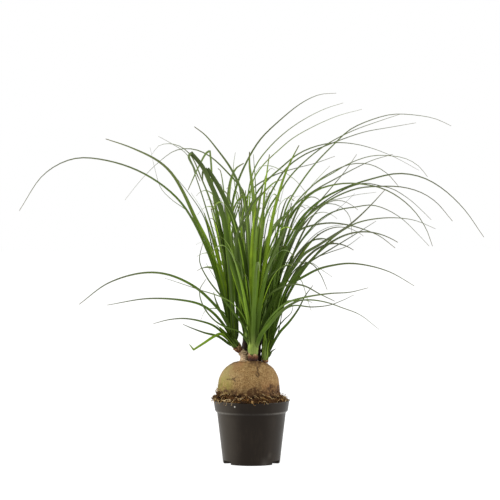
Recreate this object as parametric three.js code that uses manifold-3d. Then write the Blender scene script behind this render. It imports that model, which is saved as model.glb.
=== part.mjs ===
// A ponytail palm in a black nursery pot, in millimetres, +Z up.
// The origin is the centre of the pot's underside. X runs to the right and Y away from the viewer.
import * as THREE from 'three';
import { mergeVertices } from 'three/addons/utils/BufferGeometryUtils.js';
import Module from 'manifold-3d';

const wasm = await Module();
wasm.setup();

// Driving dimensions
const seatGap = 0.3;
const grain = 0.01;
const pot = {
  height: 98, rimRadius: 60, bandRadius: 57, bandDrop: 15.8, stepDepth: 4.2, bodyRadius: 53.6,
  footRadius: 44.7, wall: 1.2, floor: 1.6, sides: 34,
};
const notch = {
  count: 3, angle: 28, height: 5.2, inner: 21, roof: 1.3, first: 90, holeRadius: 3.2, holeAt: 33,
};
const soil = {
  level: 97.2, sides: 32, rings: 5, mound: 9, lean: 3.2, highAt: 3.5, slope: 11,
  leftHeap: 6.5, heapAt: 3.25, heapWidth: 0.5, crumbs: 20, crumbSize: 4,
};
const caudex = {
  centre: [-4.5, 0, 112], radius: 48, above: 48, below: 46, shoulder: 2.5, sides: 24,
  ringsAbove: 7, ringsBelow: 4,
};
const crown = { sides: 9, tipShare: 0.5, swell: 2.2, rootRise: 3.3, rootSpread: 7, rootShare: 0.5 };
const collar = { slack: 0.4, sides: 10, scales: 4, scaleRise: 1.8, scaleRadius: 1.5 };
const blade = {
  rootShare: 0.75, tipShare: 0.18, keel: 1.3, tipKeel: 0.62, channel: 0.3, opening: 0.2,
  sideTurn: 30,
};
const ringRule = { least: 4, most: 9, perTurn: 1.7, start: 3 };

// Each growing head stands on a short neck and keeps its leaves inside its own sector of directions.
// Its fill is the number of leaves that stand behind those listed one by one further down.
const heads = {
  left: {
    seat: [-17, -4, 174], lean: [-0.62, -0.03, 0.78], sector: [150, 215],
    foot: 3.6, radius: 6.2, height: 30,
    collar: { height: 10, bottom: 5.2, top: 7.8 },
    neck: [{ at: [-10.5, -3, 146], radius: 8 }, { at: [-10.8, -3, 168], radius: 6.4 }],
    fill: { count: 7, fan: [160, 206], reach: [18, 50], top: [440, 380], side: 60 },
  },
  back: {
    seat: [-10.6, 14, 172.5], lean: [0.16, 0.14, 0.98], sector: [30, 150], foot: 3.2, radius: 3.8, height: 36,
    collar: { height: 16, bottom: 5.9, top: 6.3 },
    neck: [{ at: [-11.5, 6, 146], radius: 8 }, { at: [-11.5, 11, 162], radius: 6 }],
    fill: { count: 16, fan: [36, 146], reach: [40, 265], top: [455, 270], side: 80 },
  },
  centre: {
    seat: [2.2, -15, 160.5], lean: [0, -0.05, 1], sector: [215, 350],
    foot: 5.6, radius: 7.2, height: 36,
    collar: { height: 10, bottom: 8, top: 7.9 },
    neck: [{ at: [1.5, -12, 144], radius: 10.5 }],
    fill: { count: 13, fan: [222, 338], reach: [40, 200], top: [440, 300], side: 60 },
  },
  right: {
    seat: [21.2, 0, 156], lean: [0.05, 0, 1], sector: [-10, 30], foot: 3.4, radius: 4.6, height: 30,
    collar: { height: 4.5, bottom: 4.8, top: 5.6 },
    neck: [{ at: [18, 0, 142], radius: 8 }],
    fill: { count: 6, fan: [-6, 27], reach: [40, 200], top: [430, 330], side: 220 },
  },
};

// A dead shoot between the centre and right heads: a small foot with thin dry stalks
const dryShoot = {
  foot: [13.4, 7.5, 156.6], radius: 3.2, rise: 4.5, sides: 6,
  stalks: [
    { to: [15.8, 8, 205], bow: [12, 7, 172], radius: 3.1 },
    { to: [15.5, 12, 204], bow: [17.6, 10.5, 171], radius: 2.4 },
    { to: [19, 11.5, 182], bow: [12.8, 11, 168], radius: 1.8 },
  ],
};

// The leaves that stand out, each as the points (x, z) that it passes as seen by a viewer far in front,
// with how far back its tip lies and how it is turned about its own line, at its root and at its tip.
// A fall is where a folded leaf's end hangs after its kink.
const viewer = { distance: 3000, height: 395, spread: 1.3 };
const leadLeaves = {
  left: [
    {
      way: [
        [-43, 249], [-72, 338], [-111, 407], [-164, 449], [-224, 471], [-277, 474], [-323, 450],
        [-362, 393],
      ],
      depth: -50, wide: 8, turn: [50, 25], taper: 1.4,
    },
    {
      way: [
        [-41, 254], [-66, 337], [-88, 382], [-108, 425], [-125, 452], [-146, 471], [-189, 492],
        [-227, 505],
      ],
      depth: 30, wide: 9, turn: [62, 40], taper: 1.8,
    },
    {
      way: [[-46, 266], [-63, 343], [-74, 383], [-99, 422], [-121, 449]],
      depth: 20, wide: 4, turn: [30, 20], taper: 1.5,
    },
    {
      way: [[-41, 277], [-58, 347], [-76, 393], [-94, 421]],
      depth: -10, wide: 3, turn: [30, 20], taper: 1.5,
    },
    {
      way: [[-38, 257], [-46, 293], [-55, 329], [-65, 363], [-74, 390]],
      depth: -8, wide: 8, turn: [60, 60], taper: 2.3,
    },
    {
      way: [
        [-37, 266], [-44, 319], [-52, 366], [-63, 405], [-77, 441], [-96, 481], [-118, 496],
        [-143, 495], [-155, 481],
      ],
      depth: 20, wide: 5.5, turn: [45, 20], taper: 1.6,
    },
    {
      way: [[-43, 277], [-54, 337], [-69, 391], [-85, 441], [-100, 480], [-125, 498], [-145, 509]],
      depth: 45, wide: 4, turn: [30, 20], taper: 1.5,
    },
    {
      way: [[-46, 288], [-71, 346], [-99, 391], [-124, 410], [-141, 428], [-150, 456], [-158, 492]],
      depth: -40, wide: 4, turn: [30, 20], taper: 1.5,
    },
    {
      way: [[-38, 220], [-62, 251], [-91, 276], [-132, 294], [-171, 296], [-224, 280], [-269, 247]],
      depth: -60, wide: 6.5, turn: [50, 30], taper: 1.5,
    },
    {
      way: [[-38, 207], [-60, 234], [-80, 247], [-111, 254], [-163, 256], [-225, 246]],
      depth: 20, wide: 5.5, turn: [45, 30], taper: 1.4,
    },
    {
      way: [[-35, 192], [-58, 213], [-80, 221], [-105, 225], [-130, 223], [-153, 217]],
      depth: -40, wide: 4.5, turn: [45, 30], taper: 1.4,
    },
    {
      way: [[-32, 184], [-52, 197], [-74, 203], [-93, 210], [-107, 216]],
      depth: -15, wide: 4.5, turn: [50, 40], taper: 1.5,
    },
    {
      way: [[-37, 193], [-48, 201], [-57, 198], [-74, 187], [-91, 176]],
      depth: -30, wide: 4.5, turn: [60, 60], taper: 2.8, fall: [[-97, 185]],
    },
    {
      way: [[-37, 226], [-48, 238], [-60, 241], [-72, 237], [-79, 223]],
      depth: 15, wide: 3, turn: [30, 20], taper: 1.5,
    },
    {
      way: [[-35, 210], [-48, 235], [-56, 254], [-59, 266]],
      depth: -10, wide: 6, turn: [60, 60], taper: 1.9,
    },
    {
      way: [[-35, 235], [-52, 280], [-63, 298], [-71, 312]],
      depth: 10, wide: 2.6, turn: [30, 20], taper: 1.5,
    },
    {
      way: [
        [-33, 220], [-37, 277], [-41, 329], [-51, 377], [-58, 410], [-62, 441], [-63, 464],
        [-65, 487],
      ],
      depth: -12, wide: 6.5, turn: [55, 50], taper: 2.0, fall: [[-70, 483], [-83, 460], [-99, 425]],
    },
    {
      way: [[-30, 207], [-33, 254], [-38, 301], [-46, 347], [-54, 386], [-60, 416]],
      depth: 12, wide: 8, turn: [66, 60], taper: 2.1,
    },
    {
      way: [[-32, 215], [-37, 270], [-43, 313], [-52, 355], [-63, 397]],
      depth: 22, wide: 8, turn: [66, 60], taper: 2.1,
    },
    {
      way: [[-27, 199], [-30, 246], [-32, 288], [-35, 332], [-43, 366]],
      depth: -3, wide: 8, turn: [55, 40], taper: 1.9,
    },
    {
      way: [[-23, 195], [-22, 220], [-22, 254], [-26, 298], [-32, 347]],
      depth: 4, wide: 7, turn: [60, 50], taper: 1.9,
    },
  ],
  back: [
    {
      way: [
        [-16, 301], [-26, 358], [-30, 397], [-23, 432], [-9, 466], [13, 503], [41, 531], [80, 562],
        [107, 574], [132, 576],
      ],
      depth: 108, wide: 5.5, turn: [50, 30], taper: 1.4,
    },
    {
      way: [
        [-5, 332], [-12, 421], [-32, 447], [-65, 478], [-91, 489], [-118, 487], [-144, 469],
        [-172, 441], [-197, 410],
      ],
      depth: 124, wide: 4.5, turn: [45, 30], taper: 1.4,
    },
    {
      way: [[-2, 313], [-7, 382], [-16, 425], [-32, 459], [-52, 487], [-72, 511], [-89, 524]],
      depth: 66, wide: 7, turn: [72, 60], taper: 1.6,
    },
    {
      way: [[-21, 254], [-30, 316], [-36, 371], [-36, 410], [-32, 441], [-24, 459], [-12, 467]],
      depth: 85, wide: 9.5, turn: [10, 10], taper: 2.9,
    },
    {
      way: [[1, 301], [5, 355], [4, 402], [0, 441], [-3, 464], [-3, 485]],
      depth: 50, wide: 9, turn: [12, 12], taper: 3.1,
    },
    {
      way: [[-2, 308], [7, 371], [7, 416], [5, 453], [3, 481]],
      depth: 80, wide: 4, turn: [20, 20], taper: 1.7,
    },
    {
      way: [[-9, 270], [-15, 313], [-24, 351], [-33, 388]],
      depth: 45, wide: 8, turn: [68, 60], taper: 2.5,
    },
    { way: [[-2, 285], [-5, 332], [-7, 371], [-9, 410]], depth: 30, wide: 7.5, turn: [8, 8], taper: 2.5 },
    {
      way: [[-13, 293], [-19, 386], [-27, 441], [-28, 463], [-25, 484]],
      depth: 100, wide: 3, turn: [30, 20], taper: 1.5,
    },
    {
      way: [
        [-7, 324], [-7, 397], [-1, 441], [9, 467], [30, 494], [55, 517], [83, 536], [115, 552],
        [143, 561],
      ],
      depth: 132, wide: 4, turn: [40, 30], taper: 1.4,
    },
    {
      way: [
        [-4, 324], [-4, 391], [2, 438], [18, 464], [43, 488], [63, 505], [94, 523], [135, 541],
        [172, 551],
      ],
      depth: 152, wide: 3.6, turn: [40, 30], taper: 1.4,
    },
    {
      way: [
        [7, 313], [16, 366], [29, 400], [44, 422], [60, 446], [80, 467], [105, 488], [130, 504],
        [161, 519], [200, 533], [233, 544],
      ],
      depth: 168, wide: 5, turn: [45, 30], taper: 1.4,
    },
    {
      way: [
        [2, 319], [12, 372], [24, 407], [38, 435], [55, 460], [82, 480], [115, 494], [146, 506],
        [177, 516], [216, 523], [256, 530],
      ],
      depth: 182, wide: 5.5, turn: [45, 30], taper: 1.4,
    },
    {
      way: [
        [-7, 332], [-4, 394], [9, 422], [26, 442], [46, 460], [72, 481], [99, 493], [130, 499],
        [161, 497], [192, 489], [224, 476], [261, 456],
      ],
      depth: 180, wide: 5.5, turn: [50, 30], taper: 1.4,
    },
    {
      way: [[-13, 329], [-13, 386], [-7, 416], [7, 432], [37, 449], [68, 459], [99, 467], [130, 478]],
      depth: 122, wide: 4.5, turn: [45, 30], taper: 1.5,
    },
    {
      way: [[-13, 313], [-12, 363], [-2, 393], [10, 411], [24, 427], [37, 438], [49, 442]],
      depth: 60, wide: 7.5, turn: [60, 45], taper: 2.1,
    },
    {
      way: [[-9, 254], [-13, 308], [-21, 351], [-26, 388], [-18, 410], [-12, 425]],
      depth: 40, wide: 5.5, turn: [20, 15], taper: 1.5,
    },
  ],
  centre: [
    {
      way: [[1, 220], [-4, 270], [-12, 319], [-21, 355], [-35, 396], [-52, 432], [-69, 459]],
      depth: -75, wide: 8, turn: [-60, -50], taper: 3.8, fall: [[-75, 454], [-76, 438]],
    },
    {
      way: [
        [-2, 215], [-12, 257], [-27, 301], [-37, 338], [-41, 369], [-51, 405], [-63, 433],
        [-76, 461], [-95, 484],
      ],
      depth: -92, wide: 8, turn: [-60, -50], taper: 3.8, fall: [[-98, 478], [-90, 460], [-80, 439]],
    },
    {
      way: [
        [-5, 223], [-21, 273], [-33, 316], [-36, 354], [-30, 390], [-16, 414], [4, 412], [23, 397],
        [38, 363], [54, 340],
      ],
      depth: -68, wide: 6, turn: [-45, -30], taper: 1.2,
    },
    {
      way: [[2, 207], [-7, 252], [-20, 299], [-29, 332], [-30, 360], [-24, 386], [-15, 410]],
      depth: -42, wide: 6.5, turn: [-45, -40], taper: 1.6,
    },
    {
      way: [[-1, 215], [-2, 257], [-6, 301], [-12, 332], [-15, 366], [-12, 397], [-9, 425]],
      depth: -32, wide: 7.5, turn: [-45, -40], taper: 1.9,
    },
    {
      way: [[1, 199], [1, 254], [0, 301], [1, 340], [3, 371], [7, 400]],
      depth: -70, wide: 9, turn: [-10, -10], taper: 2.1,
    },
    {
      way: [[5, 199], [6, 254], [7, 301], [9, 335], [12, 366], [19, 397], [29, 422]],
      depth: -55, wide: 8, turn: [-36, -36], taper: 1.9,
    },
    {
      way: [[10, 206], [10, 262], [12, 308], [15, 347], [18, 383], [20, 418], [24, 453], [28, 481]],
      depth: -45, wide: 7, turn: [-42, -36], taper: 1.5,
    },
    {
      way: [[4, 215], [9, 277], [13, 332], [16, 371], [18, 402]],
      depth: -60, wide: 7.5, turn: [-25, -25], taper: 2.3,
    },
    {
      way: [
        [12, 215], [16, 270], [23, 321], [29, 360], [35, 391], [43, 421], [52, 449], [63, 474],
        [74, 495],
      ],
      depth: -65, wide: 8, turn: [-45, -45], taper: 2.1,
    },
    {
      way: [
        [4, 192], [9, 232], [16, 270], [26, 308], [40, 343], [57, 377], [79, 407], [104, 426],
        [138, 435], [169, 435], [203, 428], [231, 413], [255, 391], [272, 365], [282, 338],
      ],
      depth: -92, wide: 6.5, turn: [55, 25], taper: 1.4,
    },
    {
      way: [
        [16, 246], [35, 301], [55, 343], [79, 383], [110, 411], [146, 429], [185, 442], [228, 451],
        [263, 446], [294, 430], [330, 397], [362, 352],
      ],
      depth: -98, wide: 7.5, turn: [60, 25], taper: 1.4,
    },
    {
      way: [
        [19, 251], [40, 304], [60, 344], [83, 380], [110, 402], [138, 418], [166, 428], [197, 431],
        [234, 430], [263, 422], [287, 407], [313, 377],
      ],
      depth: -120, wide: 7, turn: [60, 25], taper: 1.4,
    },
    {
      way: [
        [21, 266], [38, 313], [65, 361], [93, 391], [122, 413], [153, 430], [178, 436], [200, 432],
        [220, 427], [247, 410], [266, 393], [280, 379],
      ],
      depth: -74, wide: 5, turn: [50, 25], taper: 1.4,
    },
    {
      way: [
        [16, 313], [29, 352], [49, 383], [76, 409], [104, 428], [133, 444], [161, 459], [189, 472],
        [220, 481],
      ],
      depth: -68, wide: 6.5, turn: [55, 25], taper: 1.4,
    },
    {
      way: [
        [16, 254], [30, 316], [51, 366], [71, 407], [88, 425], [107, 442], [132, 457], [157, 466],
        [185, 465], [210, 452], [230, 430],
      ],
      depth: -82, wide: 5.5, turn: [50, 25], taper: 1.4,
    },
    {
      way: [
        [13, 270], [26, 327], [46, 371], [74, 411], [100, 436], [127, 452], [153, 467], [185, 478],
        [213, 479], [241, 474], [261, 462], [274, 446],
      ],
      depth: -70, wide: 5, turn: [50, 25], taper: 1.4,
    },
    {
      way: [
        [26, 235], [46, 276], [68, 307], [83, 326], [104, 339], [127, 354], [149, 368], [169, 385],
        [189, 405], [208, 426],
      ],
      depth: -95, wide: 8, turn: [60, 40], taper: 1.8,
    },
    {
      way: [[16, 201], [26, 213], [41, 231], [62, 247], [80, 254], [95, 250]],
      depth: -92, wide: 7, turn: [-55, -55], taper: 2.7,
    },
    {
      way: [[13, 198], [32, 229], [55, 249], [83, 258], [122, 264], [153, 266], [182, 273]],
      depth: -128, wide: 5.5, turn: [50, 30], taper: 1.5,
    },
    {
      way: [[7, 220], [16, 246], [33, 266], [60, 278], [82, 276], [107, 263], [130, 252]],
      depth: -62, wide: 5.5, turn: [50, 30], taper: 1.5,
    },
    {
      way: [[15, 260], [32, 294], [49, 305], [69, 312], [85, 313], [97, 308], [108, 293], [118, 270]],
      depth: -70, wide: 4.2, turn: [50, 30], taper: 1.5,
    },
    {
      way: [[4, 332], [1, 397], [4, 444], [13, 461], [29, 463], [48, 455], [68, 441], [83, 424]],
      depth: -50, wide: 4, turn: [40, 20], taper: 1.4,
    },
    {
      way: [[19, 235], [40, 282], [60, 319], [85, 354], [110, 379], [135, 396], [161, 420]],
      depth: -66, wide: 4, turn: [40, 20], taper: 1.5,
    },
    {
      way: [[-7, 204], [-26, 232], [-46, 258], [-69, 288], [-81, 315], [-76, 343]],
      depth: -88, wide: 3.8, turn: [-50, -40], taper: 1.8,
    },
    {
      way: [[-7, 190], [-19, 204], [-40, 211], [-60, 224], [-76, 246], [-81, 268], [-71, 287]],
      depth: -84, wide: 3.8, turn: [-50, -40], taper: 1.6,
    },
    {
      way: [[-7, 215], [-24, 243], [-44, 257], [-82, 270], [-105, 278], [-135, 288]],
      depth: -118, wide: 3.6, turn: [45, 30], taper: 1.4,
    },
    {
      way: [[9, 210], [15, 254], [23, 293], [38, 332], [51, 360], [58, 388]],
      depth: -110, wide: 6.5, turn: [-40, -35], taper: 1.9,
    },
    {
      way: [[-4, 231], [-16, 280], [-24, 319], [-21, 360], [-7, 390], [7, 411], [23, 425]],
      depth: -100, wide: 6.5, turn: [-20, -20], taper: 1.9,
    },
  ],
  right: [
    {
      way: [
        [33, 246], [38, 308], [45, 355], [55, 399], [76, 435], [100, 467], [127, 495], [153, 519],
        [185, 534], [219, 543], [255, 542], [287, 536], [311, 525],
      ],
      depth: -38, wide: 6.5, turn: [50, 25], taper: 1.4,
    },
    {
      way: [
        [40, 254], [54, 298], [69, 332], [93, 366], [115, 385], [138, 395], [163, 399], [185, 402],
        [206, 397], [234, 381], [259, 357], [277, 338],
      ],
      depth: 30, wide: 5, turn: [50, 25], taper: 1.4,
    },
    {
      way: [
        [41, 235], [52, 263], [72, 293], [99, 323], [122, 347], [146, 365], [167, 375], [197, 381],
        [227, 382], [255, 378], [287, 365],
      ],
      depth: 95, wide: 6, turn: [55, 25], taper: 1.5,
    },
    {
      way: [
        [35, 254], [44, 304], [60, 343], [77, 364], [99, 371], [124, 374], [150, 371], [172, 365],
        [199, 354], [224, 335],
      ],
      depth: -32, wide: 6, turn: [55, 25], taper: 1.5,
    },
    {
      way: [[41, 231], [52, 266], [69, 294], [91, 313], [115, 328], [138, 342], [169, 361], [194, 377]],
      depth: -18, wide: 5.5, turn: [50, 25], taper: 1.5,
    },
    {
      way: [[43, 241], [58, 279], [77, 304], [99, 319], [124, 329], [149, 338], [170, 353]],
      depth: 25, wide: 4, turn: [45, 25], taper: 1.5,
    },
    {
      way: [
        [32, 192], [41, 231], [51, 259], [62, 279], [79, 289], [104, 302], [127, 308], [153, 311],
        [185, 307], [217, 297], [254, 276],
      ],
      depth: 40, wide: 6.5, turn: [50, 25], taper: 1.4,
    },
    {
      way: [[40, 266], [54, 319], [72, 360], [93, 390], [116, 407], [138, 412], [164, 418], [194, 422]],
      depth: 68, wide: 3.6, turn: [40, 25], taper: 1.5,
    },
    {
      way: [[37, 273], [51, 321], [71, 366], [94, 396], [118, 404], [136, 401], [152, 386], [157, 352]],
      depth: -24, wide: 4, turn: [40, 25], taper: 1.5,
    },
    {
      way: [[44, 288], [62, 337], [80, 375], [104, 405], [127, 432], [146, 455], [164, 481]],
      depth: 72, wide: 4.5, turn: [45, 25], taper: 1.6,
    },
    {
      way: [[43, 308], [58, 360], [74, 400], [88, 425], [104, 444], [122, 463]],
      depth: 42, wide: 3, turn: [40, 25], taper: 1.5,
    },
    {
      way: [[48, 266], [60, 304], [74, 329], [86, 343], [102, 358], [122, 368], [149, 372]],
      depth: -14, wide: 3.6, turn: [40, 25], taper: 1.5,
    },
    {
      way: [
        [33, 201], [38, 231], [51, 250], [71, 253], [94, 254], [118, 250], [141, 242], [169, 231],
        [199, 208],
      ],
      depth: 75, wide: 4, turn: [45, 30], taper: 1.4,
    },
    {
      way: [[37, 207], [48, 235], [65, 245], [94, 243], [122, 246], [141, 253], [160, 262]],
      depth: -20, wide: 3.6, turn: [40, 30], taper: 1.5,
    },
    {
      way: [[38, 235], [55, 282], [76, 308], [93, 312], [108, 302], [126, 290]],
      depth: 32, wide: 3.4, turn: [40, 30], taper: 1.5,
    },
    {
      way: [[38, 232], [54, 266], [68, 284], [76, 286], [81, 276], [86, 259], [93, 237]],
      depth: 22, wide: 3.6, turn: [40, 30], taper: 1.5,
    },
    {
      way: [[31, 181], [44, 203], [60, 221], [74, 241], [83, 259], [96, 277]],
      depth: -12, wide: 5.2, turn: [55, 40], taper: 1.8,
    },
    {
      way: [[31, 187], [40, 209], [51, 223], [62, 234], [65, 245]],
      depth: 12, wide: 3.4, turn: [40, 30], taper: 1.6,
    },
    {
      way: [[31, 181], [40, 196], [44, 213], [48, 234], [54, 257]],
      depth: -5, wide: 3.4, turn: [40, 30], taper: 1.6,
    },
    {
      way: [[28, 182], [32, 210], [39, 241], [49, 273], [65, 304], [83, 332], [104, 357]],
      depth: 8, wide: 7, turn: [60, 50], taper: 1.8,
    },
    {
      way: [[22, 195], [22, 226], [26, 262], [32, 298], [40, 332], [51, 366]],
      depth: 15, wide: 8, turn: [60, 50], taper: 1.8,
    },
    {
      way: [[20, 198], [19, 226], [22, 257], [28, 293], [37, 329]],
      depth: 5, wide: 8, turn: [60, 50], taper: 1.8,
    },
    {
      way: [[29, 199], [33, 246], [41, 285], [54, 323], [71, 357], [90, 382]],
      depth: 22, wide: 7.5, turn: [60, 50], taper: 1.8,
    },
    {
      way: [[27, 207], [30, 254], [35, 298], [43, 335], [52, 371], [63, 405]],
      depth: 35, wide: 7, turn: [60, 50], taper: 1.7,
    },
    { way: [[28, 167], [32, 174], [38, 178]], depth: -2, wide: 3.6, turn: [60, 50], taper: 1.9 },
  ],
};

const colours = {
  pot: 0x1d1e1f, soil: 0x4a3424, caudex: 0xa08a5a, collar: 0x5a3a28, dry: 0x2a1d17,
  left: 0x3d5c2a, back: 0x35522a, centre: 0x4c6d2c, right: 0x3f6129,
};

// Small helpers
const up = new THREE.Vector3(0, 0, 1);
const origin = new THREE.Vector3();
const vec = (list) => new THREE.Vector3(...list);
const rad = THREE.MathUtils.degToRad;
const mix = THREE.MathUtils.lerp;
const clamp = THREE.MathUtils.clamp;

function seeded(seed) {
  let state = seed;
  return (low = 0, high = 1) => {
    state = (state * 1664525 + 1013904223) % 4294967296;
    return low + (high - low) * state / 4294967296;
  };
}

function material(colour, roughness) {
  return new THREE.MeshStandardMaterial({ color: colour, roughness, metalness: 0 });
}

// Solids
function solidFrom(positions, corners) {
  const mesh = new wasm.Mesh({
    numProp: 3, vertProperties: new Float32Array(positions), triVerts: new Uint32Array(corners),
  });
  mesh.merge();
  return new wasm.Manifold(mesh);
}

function solidOf(geometry) {
  const bare = geometry.clone();
  bare.deleteAttribute('normal');
  bare.deleteAttribute('uv');
  const merged = mergeVertices(bare, 1e-4);
  return solidFrom(merged.attributes.position.array, merged.index.array);
}

function geometryOf(solid) {
  const mesh = solid.getMesh();
  const geometry = new THREE.BufferGeometry();
  geometry.setAttribute('position', new THREE.BufferAttribute(mesh.vertProperties, 3));
  geometry.setIndex(new THREE.BufferAttribute(mesh.triVerts, 1));
  geometry.computeVertexNormals();
  return geometry;
}

function joined(solids) {
  return wasm.Manifold.union(solids);
}

// A join or a cut can leave a loose scrap behind, so only the largest body is kept.
// Corners that lie closer than the grain are made one.
function largest(solid) {
  return solid.decompose().sort((a, b) => b.volume() - a.volume())[0].simplify(grain);
}

// Skins a row of rings with the same number of points each. A ring of one point closes the end as a tip.
function skin(rings) {
  const positions = [];
  const starts = rings.map((ring) => {
    const start = positions.length / 3;
    ring.forEach((p) => positions.push(p.x, p.y, p.z));
    return start;
  });
  const corners = [];
  for (let i = 0; i + 1 < rings.length; i += 1) {
    const [here, next] = [rings[i], rings[i + 1]];
    const count = Math.max(here.length, next.length);
    for (let j = 0; j < count; j += 1) {
      const k = (j + 1) % count;
      if (next.length > 1) {
        corners.push(starts[i] + (here.length > 1 ? j : 0), starts[i + 1] + k, starts[i + 1] + j);
      }
      if (here.length > 1) {
        corners.push(starts[i] + j, starts[i] + k, starts[i + 1] + (next.length > 1 ? k : 0));
      }
    }
  }
  const last = rings.length - 1;
  for (let j = 1; j + 1 < rings[0].length; j += 1) {
    corners.push(starts[0], starts[0] + j + 1, starts[0] + j);
  }
  for (let j = 1; j + 1 < rings[last].length; j += 1) {
    corners.push(starts[last], starts[last] + j, starts[last] + j + 1);
  }
  return solidFrom(positions, corners);
}

// A turned solid standing on a point and leaning along a direction
function turned(profile, sides, foot, lean) {
  const lathe = new THREE.LatheGeometry(profile.map(([r, z]) => new THREE.Vector2(r, z)), sides);
  const turn = new THREE.Quaternion().setFromUnitVectors(new THREE.Vector3(0, 1, 0), lean);
  return solidOf(lathe.applyQuaternion(turn).translate(foot.x, foot.y, foot.z));
}

// Pot: a turned shell with a flared rim, a step under its band and raised channels in its floor
function wedge(inner, outer, angle, low, high) {
  const half = rad(angle) / 2;
  const shape = new THREE.Shape();
  shape.absarc(0, 0, outer, -half, half, false);
  shape.absarc(0, 0, inner, half, -half, true);
  shape.closePath();
  const body = new THREE.ExtrudeGeometry(shape, { depth: high - low, bevelEnabled: false, curveSegments: 3 });
  return body.translate(0, 0, low);
}

function notchTurns() {
  return Array.from({ length: notch.count }, (_, i) => rad(notch.first + i * 360 / notch.count));
}

function channelRoofs(grow) {
  const inner = notch.inner - notch.roof - grow;
  const outer = pot.footRadius - pot.wall / 2;
  const angle = notch.angle + 6 + grow * 2;
  const top = notch.height + notch.roof + grow;
  return notchTurns().map((turn) => solidOf(wedge(inner, outer, angle, pot.floor / 2, top).rotateZ(turn)));
}

function potSolid() {
  const { height, wall, rimRadius, bandRadius, bandDrop, stepDepth, bodyRadius, footRadius } = pot;
  const bandFoot = height - bandDrop;
  const profile = [
    [0, 0], [footRadius - 1.6, 0], [footRadius - 0.5, 0.6], [footRadius, 2.4],
    [bodyRadius, bandFoot - stepDepth], [bandRadius - 1.6, bandFoot - 1.9], [bandRadius, bandFoot],
    [rimRadius - 0.8, height - 1.6], [rimRadius, height - 0.8], [rimRadius - 0.5, height],
    [rimRadius - wall, height - 0.2], [rimRadius - wall - 0.8, height - 1.6],
    [bandRadius - wall, bandFoot + 0.3], [bodyRadius - wall, bandFoot - stepDepth + 0.6],
    [footRadius - wall, pot.floor + 2], [footRadius - wall - 1.4, pot.floor], [0, pot.floor],
  ];
  const shell = turned(profile, pot.sides, origin, up);
  const channels = notchTurns().map((turn) => (
    solidOf(wedge(notch.inner, rimRadius, notch.angle, -1, notch.height).rotateZ(turn))
  ));
  const holes = notchTurns().map((turn) => {
    const drill = new THREE.CylinderGeometry(notch.holeRadius, notch.holeRadius, 20, 8).rotateX(Math.PI / 2);
    return solidOf(drill.translate(notch.holeAt * Math.cos(turn), notch.holeAt * Math.sin(turn), 0));
  });
  return joined([shell, ...channelRoofs(0)]).subtract(joined([...channels, ...holes]));
}

// Caudex: a swollen base with broad lumps, and the short necks that carry the heads
function caudexRadius(turn, z) {
  const broad = 0.012 * Math.sin(2 * turn + 0.7) + 0.014 * Math.sin(3 * turn + z / 19);
  return 1 + broad + 0.01 * Math.sin(5 * turn - z / 11);
}

function caudexBody(scale) {
  const { centre, radius, above, below, shoulder, sides, ringsAbove, ringsBelow } = caudex;
  const ring = (flat, z) => Array.from({ length: sides }, (_, i) => {
    const turn = i / sides * 2 * Math.PI;
    const reach = flat * scale * caudexRadius(turn, z);
    return new THREE.Vector3(
      centre[0] + reach * Math.cos(turn), centre[1] + reach * Math.sin(turn), centre[2] + z * scale,
    );
  });
  const rings = [[new THREE.Vector3(centre[0], centre[1], centre[2] - below * scale)]];
  for (let i = 1; i <= ringsBelow; i += 1) {
    const tilt = i / ringsBelow * Math.PI / 2;
    rings.push(ring(radius * Math.sin(tilt), -below * Math.cos(tilt)));
  }
  for (let i = 1; i <= ringsAbove; i += 1) {
    const tilt = (1 - i / (ringsAbove + 1)) * Math.PI / 2;
    rings.push(ring(radius * Math.sin(tilt) ** (2 / shoulder), above * Math.cos(tilt) ** (2 / shoulder)));
  }
  rings.push([new THREE.Vector3(centre[0], centre[1], centre[2] + above * scale)]);
  return skin(rings);
}

function neckPieces(head) {
  const stops = [...head.neck, { at: head.seat, radius: head.collar.bottom + 0.3 }];
  return stops.slice(0, -1).map((stop, i) => {
    const next = stops[i + 1];
    const foot = vec(stop.at);
    const axis = vec(next.at).sub(foot);
    const long = axis.length();
    const profile = [
      [0, 0], [stop.radius, 0], [stop.radius + 0.4, long * 0.3], [stop.radius - 0.2, long * 0.45],
      [mix(stop.radius, next.radius, 0.7) + 0.4, long * 0.75], [next.radius, long], [0, long],
    ];
    return turned(profile, 10, foot, axis.normalize());
  });
}

// What is cut away above a neck, so that the head sits on a flat seat
function seatCut(head) {
  const reach = head.collar.top + 1.8;
  const rise = head.collar.height + 14;
  const profile = [[0, 0], [reach, 0], [reach, rise], [0, rise]];
  return turned(profile, 12, vec(head.seat), vec(head.lean).normalize());
}

function caudexSolid() {
  const necks = Object.values(heads).flatMap(neckPieces);
  const cuts = Object.values(heads).map(seatCut);
  const { foot, radius, rise } = dryShoot;
  const reach = radius + 1;
  const hollow = [[0, -seatGap], [reach, -seatGap], [reach, rise * 3], [0, rise * 3]];
  const socket = turned(hollow, 8, vec(foot), up);
  return largest(joined([caudexBody(1), ...necks]).subtract(joined([...cuts, socket])));
}

// Soil: the pot's filling, heaped round the caudex and higher at the left, with loose crumbs on it
function potInside(z) {
  const share = (z - pot.height + pot.bandDrop) / pot.bandDrop;
  return mix(pot.bandRadius, pot.rimRadius - 0.8, share) - pot.wall - seatGap;
}

function soilTop(turn, r) {
  const inward = potInside(soil.level) - r;
  const mound = soil.mound + soil.lean * Math.cos(turn - soil.highAt);
  const rise = Math.sin(clamp(inward / soil.slope, 0, 1) * Math.PI / 2);
  const heap = soil.leftHeap * Math.exp(-(((turn - soil.heapAt) / soil.heapWidth) ** 2));
  const lumps = 1.1 * Math.sin(7 * turn + r / 5) + 0.9 * Math.sin(11 * turn - r / 3);
  return soil.level + mound * rise + heap * clamp(inward / 3, 0, 1) + lumps * clamp(inward / 4, 0, 1);
}

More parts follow.
